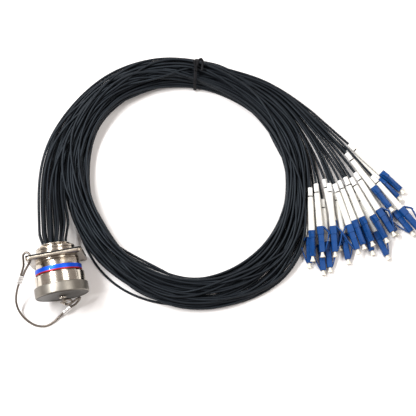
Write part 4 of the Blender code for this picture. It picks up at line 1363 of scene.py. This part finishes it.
            array[:, 3:-2] = (array[:, 2:-3] + 2 * array[:, 3:-2] + array[:, 4:-1]) / 4
        LOG.info("leads settled in %d rounds", rounds)
        return radius, height

    def spread_fan(self, lines: list[np.ndarray], rounds: int) -> list[np.ndarray]:
        """Pushes the leads apart in the fan, with both ends of each kept.

        Args:
            lines: a line of equally many points for each lead.
            rounds: number of rounds.

        Returns:
            The lines.
        """
        points = np.stack(lines)
        leads, count = points.shape[:2]
        same = np.repeat(np.arange(leads), count)
        same = same[:, None] == same[None]
        for _ in range(rounds):
            bend = np.zeros_like(points)
            bend[:, 1:-1] = (points[:, :-2] + points[:, 2:]) / 2 - points[:, 1:-1]
            points[:, 2:-3] += 0.25 * bend[:, 2:-3]
            flat = points.reshape(-1, 3)
            square = (flat ** 2).sum(axis=1)
            gap = square[:, None] + square[None] - 2 * flat @ flat.T
            gap[same] = 99.0
            first, second = np.nonzero(gap < self.fan_spacing ** 2)
            if len(first) == 0:
                continue
            apart = flat[first] - flat[second]
            size = np.linalg.norm(apart, axis=1)[:, None] + 1e-6
            push = np.zeros_like(flat)
            np.add.at(push, first, 0.5 * apart / size * (self.fan_spacing - size))
            push = push.reshape(points.shape)
            push[:, :2] = 0.0
            push[:, -3:] = 0.0
            points += 0.8 * push
            points[:, 2:-3, 2] = np.maximum(points[:, 2:-3, 2], LEAD_R)
        return list(points)

    def eased(self, line: np.ndarray, lead: Lead) -> np.ndarray:
        """Fan stretch bent evenly, part way to the curve of a springy rod.

        The rod's curve is p0 (2u^3 - 3u^2 + 1) + p1 (3u^2 - 2u^3) + L t0 (u^3 - 2u^2 + u)
        + L t1 (u^3 - u^2), with t0 along the coil, t1 along the plug and L = 1.1 chords.
        The middle is moved sideways by sway sin(pi u)^2, up to 3.2 mm for the plugs that
        lie furthest along x.
        """
        u = np.linspace(0, 1, len(line))[:, None]
        off = line[0] - np.array([*COIL_CENTRE, line[0][2]])
        along = np.array([off[1], -off[0], 0.0]) / np.hypot(off[0], off[1])
        reach = 1.1 * np.linalg.norm(line[-1] - line[0])
        rod = (line[0] * (2 * u ** 3 - 3 * u ** 2 + 1) + line[-1] * (3 * u ** 2 - 2 * u ** 3)
               + reach * along * (u ** 3 - 2 * u ** 2 + u)
               + reach * lead.ahead() * (u ** 3 - u ** 2))
        rod[:, 2] = line[:, 2]
        off = line[-1] - line[0]
        side = np.array([off[1], -off[0], 0.0]) / np.hypot(off[0], off[1])
        sway = -3.2 * min(max((lead.front[0] - 235.0) / 40.0, 0.0), 1.0)
        return 0.68 * line + 0.32 * rod + sway * np.sin(np.pi * u) ** 2 * side

    def side_by_side(self, fans: list[np.ndarray]) -> list[np.ndarray]:
        """Leads of the sheaf laid beside each other instead of in pairs.

        At each turn about the coil the radii of the first 16 leads are moved three
        quarters of the way to even steps between the least and the greatest. The move
        grows from nothing on the coil and goes back to nothing at each sleeve.
        """
        bearing = np.linspace(-62, 20, 83)
        way, reach = [], []
        for line in fans[:16]:
            turn, radius = about_coil(line)
            way.append(-turn)
            reach.append(radius)
        table = np.stack([np.interp(bearing, w, r) for w, r in zip(way, reach)])
        rank = np.argsort(np.argsort(table[:, 62]))[:, None]
        low, high = table.min(axis=0), table.max(axis=0)
        grown = smooth(np.clip((bearing + 50) / 24, 0, 1))
        move = 0.75 * grown * (low + (high - low) * rank / 15 - table)
        for line, w, r, shift in zip(fans, way, reach, move):
            rest = smooth(np.clip(np.linspace(1, 0, len(line)) / 0.3, 0, 1))
            step = np.interp(w, bearing, shift) * rest
            line[:, :2] += (line[:, :2] - np.array(COIL_CENTRE)) * (step / r)[:, None]
        return fans

    def routes(self, radius: np.ndarray, height: np.ndarray) -> list[np.ndarray]:
        """Whole centreline of each lead, from the seal to inside its plug.

        Args:
            radius: radius of the settled leads at each station.
            height: their height.

        Returns:
            A line of points for each lead.
        """
        angle = np.radians(self.angles())
        x = COIL_CENTRE[0] + radius * np.cos(angle)
        y = COIL_CENTRE[1] + radius * np.sin(angle)
        ring = np.stack([x, y, height], axis=-1)
        fans = []
        for lead in LEADS:
            line = through(np.vstack([self.drawn_in(lead.fan), lead.at(58.0)]), 0.5)
            pick = np.round(np.linspace(0, len(line) - 1, 46)).astype(int)
            fans.append(self.eased(line[pick], lead))
        fans = self.spread_fan(self.side_by_side(fans), 60)
        lines = []
        for number, (lead, (sx, sz)) in enumerate(zip(LEADS, self.seats())):
            way = np.concatenate([
                [(sx, AXIS_Y + 12.6, AXIS_Z + sz), (sx, AXIS_Y + 15.0, AXIS_Z + sz)],
                ring[number, 2:], fans[number][1:],
                [lead.at(b) for b in (55.0, 48.0, 40.0, 32.0, 22.6)]])
            lines.append(through(way, 4.4))
        return lines

    def tube(self, name: str, line: np.ndarray, nodes: list[str]) -> bpy.types.Object:
        """Jacket: a circle carried along the lead's line."""
        mesh = Shape().grid(carry(line, circle(LEAD_R, 10)), caps=True).mesh(name)
        return add_piece(name, mesh, JACKET, Body.RECEPTACLE, nodes, 50.0)

    def tie(self, radius: np.ndarray, height: np.ndarray) -> None:
        """Tie round the bundle: one end stands out, the other is folded into a loop.

        The band follows the bundle's outline at that angle: with h(t) the furthest reach
        of the leads in direction t, a point of the band is h n(t) + h' n'(t).

        Args:
            radius: radius of the settled leads at each station.
            height: their height.
        """
        near = self.from_tie() < 3.2
        spots = np.stack([radius[:, near].ravel(), height[:, near].ravel()], axis=1)
        t = turns(96)
        ray = np.stack([np.cos(t), np.sin(t)], axis=1)
        reach = (spots @ ray.T).max(axis=0) + LEAD_R + self.tie_lift
        for _ in range(3):
            reach = np.maximum(reach, (np.roll(reach, 1) + np.roll(reach, -1)) / 2)
        slope = (np.roll(reach, -1) - np.roll(reach, 1)) / (2 * (t[1] - t[0]))
        loop = reach[:, None] * ray + slope[:, None] * np.stack([-ray[:, 1], ray[:, 0]], axis=1)
        loop[:, 1] = np.maximum(loop[:, 1], self.tie_lift)
        turn = math.radians(self.tie_angle)
        out = np.array([math.cos(turn), math.sin(turn), 0.0])
        side = np.array([math.sin(turn), -math.cos(turn), 0.0])
        base = np.array([COIL_CENTRE[0], COIL_CENTRE[1], 0.0])
        normal = np.stack([np.roll(loop[:, 1], -1) - np.roll(loop[:, 1], 1),
                           np.roll(loop[:, 0], 1) - np.roll(loop[:, 0], -1)], axis=1)
        normal /= np.linalg.norm(normal, axis=1)[:, None]
        strip = rounded([(-1.3, -0.22), (-0.5, -0.22), (-0.42, -0.4), (0.42, -0.4),
                         (0.5, -0.22), (1.3, -0.22), (1.3, 0.22), (0.5, 0.22),
                         (0.42, 0.4), (-0.42, 0.4), (-0.5, 0.22), (-1.3, 0.22)], 0.08, 2)
        flat = loop[:, None] + normal[:, None] * strip[None, :, 1:]
        grid = (base + out * flat[..., :1] + np.array([0, 0, 1.0]) * flat[..., 1:]
                + side * strip[None, :, :1])
        shape = Shape().grid(grid, ring_u=True)
        upper = loop[:, 1] > loop[:, 1].mean()
        top = np.nonzero(upper)[0][np.argmin(np.abs(loop[upper, 0] - 92.5))]
        knot = base + out * loop[top, 0] + np.array([0, 0, loop[top, 1] + 0.5])
        for ways in (((-1.5, -0.8, 0), (0.4, -0.3, 0.5), (1.6, 0.7, 1.2), (2.8, -0.5, 1.9),
                      (4.2, -1.2, 2.8), (5.6, -1.5, 3.8), (6.8, -1.7, 4.4)),
                     ((-1.5, 0.9, 0), (0.4, 0.6, 0.5), (1.5, -0.6, 1.3), (3.0, 1.0, 2.4),
                      (5.2, 1.7, 3.6), (7.0, 2.6, 4.4), (7.8, 4.0, 4.6), (7.0, 5.3, 3.8),
                      (5.0, 5.7, 2.6), (2.0, 5.6, 1.7), (-1.6, 5.4, 1.4))):
            line = through([knot + out * o + side * s + np.array([0, 0, u])
                            for o, s, u in ways], 0.5)
            shape.grid(carry(line, strip * (1.0, 2.4), side), caps=True)
        add_piece("coil_tie_dressed", shape.mesh("coil_tie_dressed"), TIE, Body.RECEPTACLE,
                  ["coil_tie"])

    def build(self) -> None:
        """Makes the leads, their plugs and the tie."""
        radius, height = self.settle(170)
        for number, (lead, line) in enumerate(zip(LEADS, self.routes(radius, height)), 1):
            nodes = [f"lead_{number:02d}"] + (["lead_coil", "lead_tail"] if number == 1 else [])
            jacket = self.tube(f"jacket_{number:02d}", line, nodes)
            ends = Plug(number, lead).build()
            LOG.info("lead %02d is %.0f mm long", number, length_of(line))
        self.tie(radius, height)


@dataclass
class Plug:
    """A small square plug: blue housing and latch, white boot, sleeve and ferrule cap (mm).

    It is laid out along x, pointing to +x, with its housing's front at the origin and its
    latch upwards, and then put in its place.
    """

    number: int
    lead: Lead
    housing: float = 22.0
    nose: float = 15.0
    nose_half: float = 2.4
    block_half: float = 2.8
    boot_end: float = 51.0
    sleeve_from: float = 52.0
    sleeve_end: float = 59.0
    peak: tuple[float, float] = (15.5, 7.2)

    def place(self) -> Matrix:
        """Turn and shift of this plug, in metres."""
        roll = self.lead.latch.value or 0.0
        return (Matrix.Translation(Vector(self.lead.front) * MM)
                @ Matrix.Rotation(math.radians(self.lead.heading), 4, "Z")
                @ Matrix.Rotation(math.radians(-self.lead.rise), 4, "Y")
                @ Matrix.Rotation(math.radians(roll), 4, "X"))

    def spin(self, profile: np.ndarray, sides: int = 28) -> np.ndarray:
        """Grid of a profile (x, r) turned round the plug's own length."""
        t = turns(sides)[:, None]
        return np.stack([np.broadcast_to(profile[:, 0], (sides, len(profile))),
                         profile[:, 1] * np.cos(t), profile[:, 1] * np.sin(t)], axis=-1)

    def square(self, half: float, corner: float) -> np.ndarray:
        """Rounded square outline |u|^n + |v|^n = half^n; n grows as the corner shrinks."""
        t = turns(32) + np.pi / 32
        ray = np.stack([np.cos(t), np.sin(t)], axis=1)
        power = 2.0 * half / corner * 0.75 + 2.0
        reach = half / (np.abs(ray) ** power).sum(axis=1) ** (1 / power)
        return ray * reach[:, None]

    def body(self) -> bpy.types.Object:
        """Housing: narrow nose, wider rear block, seam, and the bore at its front."""
        rows = []
        for x, half, corner in (
                (-self.housing, 1.2, 1.2), (-self.housing, self.block_half - 0.25, 0.5),
                (-self.housing + 0.25, self.block_half, 0.5),
                (-self.nose - 0.25, self.block_half, 0.5),
                (-self.nose, self.block_half - 0.2, 0.5),
                (-self.nose, self.nose_half - 0.12, 0.4),
                (-self.nose + 0.35, self.nose_half - 0.12, 0.4),
                (-self.nose + 0.35, self.nose_half + 0.05, 0.4),
                (-9.2, self.nose_half + 0.03, 0.4), (-9.0, self.nose_half - 0.1, 0.4),
                (-8.6, self.nose_half - 0.1, 0.4), (-8.4, self.nose_half, 0.4),
                (-0.3, self.nose_half, 0.4), (0.0, self.nose_half - 0.3, 0.4),
                (0.0, 1.55, 1.55), (-1.6, 1.55, 1.55), (-1.6, 0.3, 0.3)):
            outline = self.square(half, corner)
            rows.append(np.column_stack([np.full(len(outline), x), outline]))
        shape = Shape().grid(np.stack(rows), caps=True)
        self.add_latch(shape)
        mesh = shape.mesh("housing", self.place())
        return add_piece(f"housing_{self.number:02d}", mesh, BLUE, Body.RECEPTACLE,
                         [f"plug_{self.number:02d}"], 28.0)

    def add_latch(self, shape: Shape) -> None:
        """Latch and trigger: two strips that meet at the peak, or lie flat when pressed."""
        flat = self.lead.latch is Latch.PRESSED
        lift = 0.16 if flat else 1.0
        top = self.nose_half
        px, pz = -self.peak[0], self.peak[1]
        arm = [(-0.9, top - 0.25), (-2.0, top + 0.3), (-5.0, top + 1.3 * lift + 0.12),
               (-10.0, top + 3.0 * lift + 0.2), (px + 0.8, (pz - 0.55 - top) * lift + top),
               (px - 0.9, (pz - 0.15 - top) * lift + top)]
        trigger = [(-self.housing + 0.5, self.block_half - 0.15),
                   (-self.housing + 0.9, self.block_half + 0.5 * lift + 0.1),
                   (-self.housing + 2.6, self.block_half + 1.7 * lift + 0.2),
                   (px - 1.8, (pz - self.block_half) * 0.86 * lift + self.block_half),
                   (px + 0.5, (pz + 0.2 - self.block_half) * lift + self.block_half)]
        for way, wide, thick in ((arm, (2.1, 2.8, 2.5, 2.2), 1.0),
                                 (trigger, (3.6, 3.3, 2.9, 2.6), 1.15)):
            line = through([(x, 0.0, z) for x, z in way], 0.5)
            share = np.linspace(0, 1, len(line))
            width = np.interp(share, np.linspace(0, 1, len(wide)), wide)
            section = rounded([(-0.5, -0.5), (0.5, -0.5), (0.5, 0.5), (-0.5, 0.5)], 0.18, 2)
            outline = section[None] * np.stack(
                [width, np.full_like(width, thick)], axis=1)[:, None]
            shape.grid(carry(line, outline), caps=True)

    def white_parts(self) -> list[bpy.types.Object]:
        """Boot, end sleeve and ferrule cap."""
        place = self.place()
        boot = rounded([
            (-self.housing - 0.05, 1.06), (-self.housing - 0.05, 2.6),
            (-self.housing - 0.5, 2.75), (-self.housing - 3.4, 2.75),
            (-self.housing - 3.8, 2.62), (-self.housing - 12.0, 2.5),
            (-self.boot_end + 0.4, 2.3), (-self.boot_end, 2.0), (-self.boot_end, 1.06)],
            0.3, 3)
        sleeve = rounded([
            (-self.sleeve_from, 1.06), (-self.sleeve_from, 2.1), (-self.sleeve_end, 2.1),
            (-self.sleeve_end, 1.06)], 0.3, 3)
        cap = rounded([
            (-1.4, 0.0), (-1.4, 1.25), (0.9, 1.25), (1.8, 1.38), (2.8, 1.8), (3.4, 2.15),
            (4.2, 2.2), (4.2, 1.75), (3.8, 1.5), (3.8, 0.0)], 0.3, 3, closed=False)
        pieces = []
        for name, profile, finish, ring in (
                ("boot", boot, WHITE, True), ("end_sleeve", sleeve, SLEEVE, True),
                ("ferrule_cap", cap, NATURAL, False)):
            mesh = Shape().grid(self.spin(profile), ring_u=True, ring_v=ring).mesh(name, place)
            pieces.append(add_piece(f"{name}_{self.number:02d}", mesh, finish,
                                    Body.RECEPTACLE, [f"plug_{self.number:02d}"]))
        return pieces

    def build(self) -> list[bpy.types.Object]:
        """Makes the pieces of one plug."""
        return [self.body()] + self.white_parts()


# Studio

@dataclass
class Studio:
    """Camera, pale floor and soft light (metres)."""

    eye: tuple[float, float, float] = (0.09195, -0.17387, 0.9560)
    aim: tuple[float, float, float] = (0.13124, 0.03792, 0.0)
    lens: float = 99.5
    sensor: float = 36.0

    def aimed(self, name: str, data: Any, at: Sequence[float], aim: Sequence[float]
              ) -> bpy.types.Object:
        """Object put at one point and turned to look at another."""
        obj = put(name, data)
        obj.location = at
        obj.rotation_euler = (Vector(aim) - Vector(at)).to_track_quat("-Z", "Y").to_euler()
        return obj

    def camera(self) -> None:
        """Camera at the photograph's angle."""
        data = bpy.data.cameras.new("camera")
        data.lens, data.sensor_width, data.clip_end = self.lens, self.sensor, 20.0
        bpy.context.scene.camera = self.aimed("camera", data, self.eye, self.aim)

    def floor(self) -> None:
        """Pale floor, kept out of the object."""
        size = 3.0
        corner = np.array([[(-size, -size, 0.0), (-size, size, 0.0)],
                           [(size, -size, 0.0), (size, size, 0.0)]]) / MM
        mesh = Shape().grid(corner, ring_v=False).mesh("floor")
        if mesh.polygons[0].normal.z < 0:
            mesh.flip_normals()
        tree = Tree("pale_floor")
        vector, _, _, _ = tree.place()
        cloud = tree.noise(vector, 6.0, 2.0)
        mesh.materials.append(tree.finish(
            Base_Color=tree.mix(cloud, (0.86, 0.84, 0.83, 1.0), (0.90, 0.885, 0.875, 1.0)),
            Roughness=0.6, Specular_IOR_Level=0.2))
        obj = put("floor", mesh)

    def light(self, name: str, at: Sequence[float], size: tuple[float, float], power: float,
              colour: Sequence[float], aim: Sequence[float] = (0.12, 0.05, 0.0)) -> None:
        """Soft rectangular light aimed at a point."""
        data = bpy.data.lights.new(name, "AREA")
        data.shape, data.size, data.size_y = "RECTANGLE", size[0], size[1]
        data.energy, data.color = power, colour
        self.aimed(name, data, at, aim)

    def build(self) -> None:
        """Sets up the camera, the floor and the lights."""
        self.camera()
        self.floor()
        self.light("key", (-0.72, 0.5, 1.45), (1.5, 0.26), 44.0, (0.98, 0.99, 1.0))
        self.light("side", (0.98, 0.12, 1.4), (1.5, 0.62), 14.0, (1.0, 0.985, 0.96))
        world = bpy.data.worlds.new("studio")
        bpy.context.scene.world = world
        bpy.context.scene.view_settings.view_transform = "Standard"
        world.use_nodes = True
        back = world.node_tree.nodes["Background"]
        back.inputs["Color"].default_value = (1.0, 0.885, 0.84, 1.0)
        back.inputs["Strength"].default_value = 0.38


def main() -> None:
    """Builds the whole scene."""
    logging.basicConfig(level=logging.INFO, format="%(message)s")
    Studio().build()
    leads = CoilOfLeads()
    Receptacle().build(leads.holes())
    DustCap().build()
    Lanyard().build()
    leads.build()


if __name__ == "__main__":
    main()
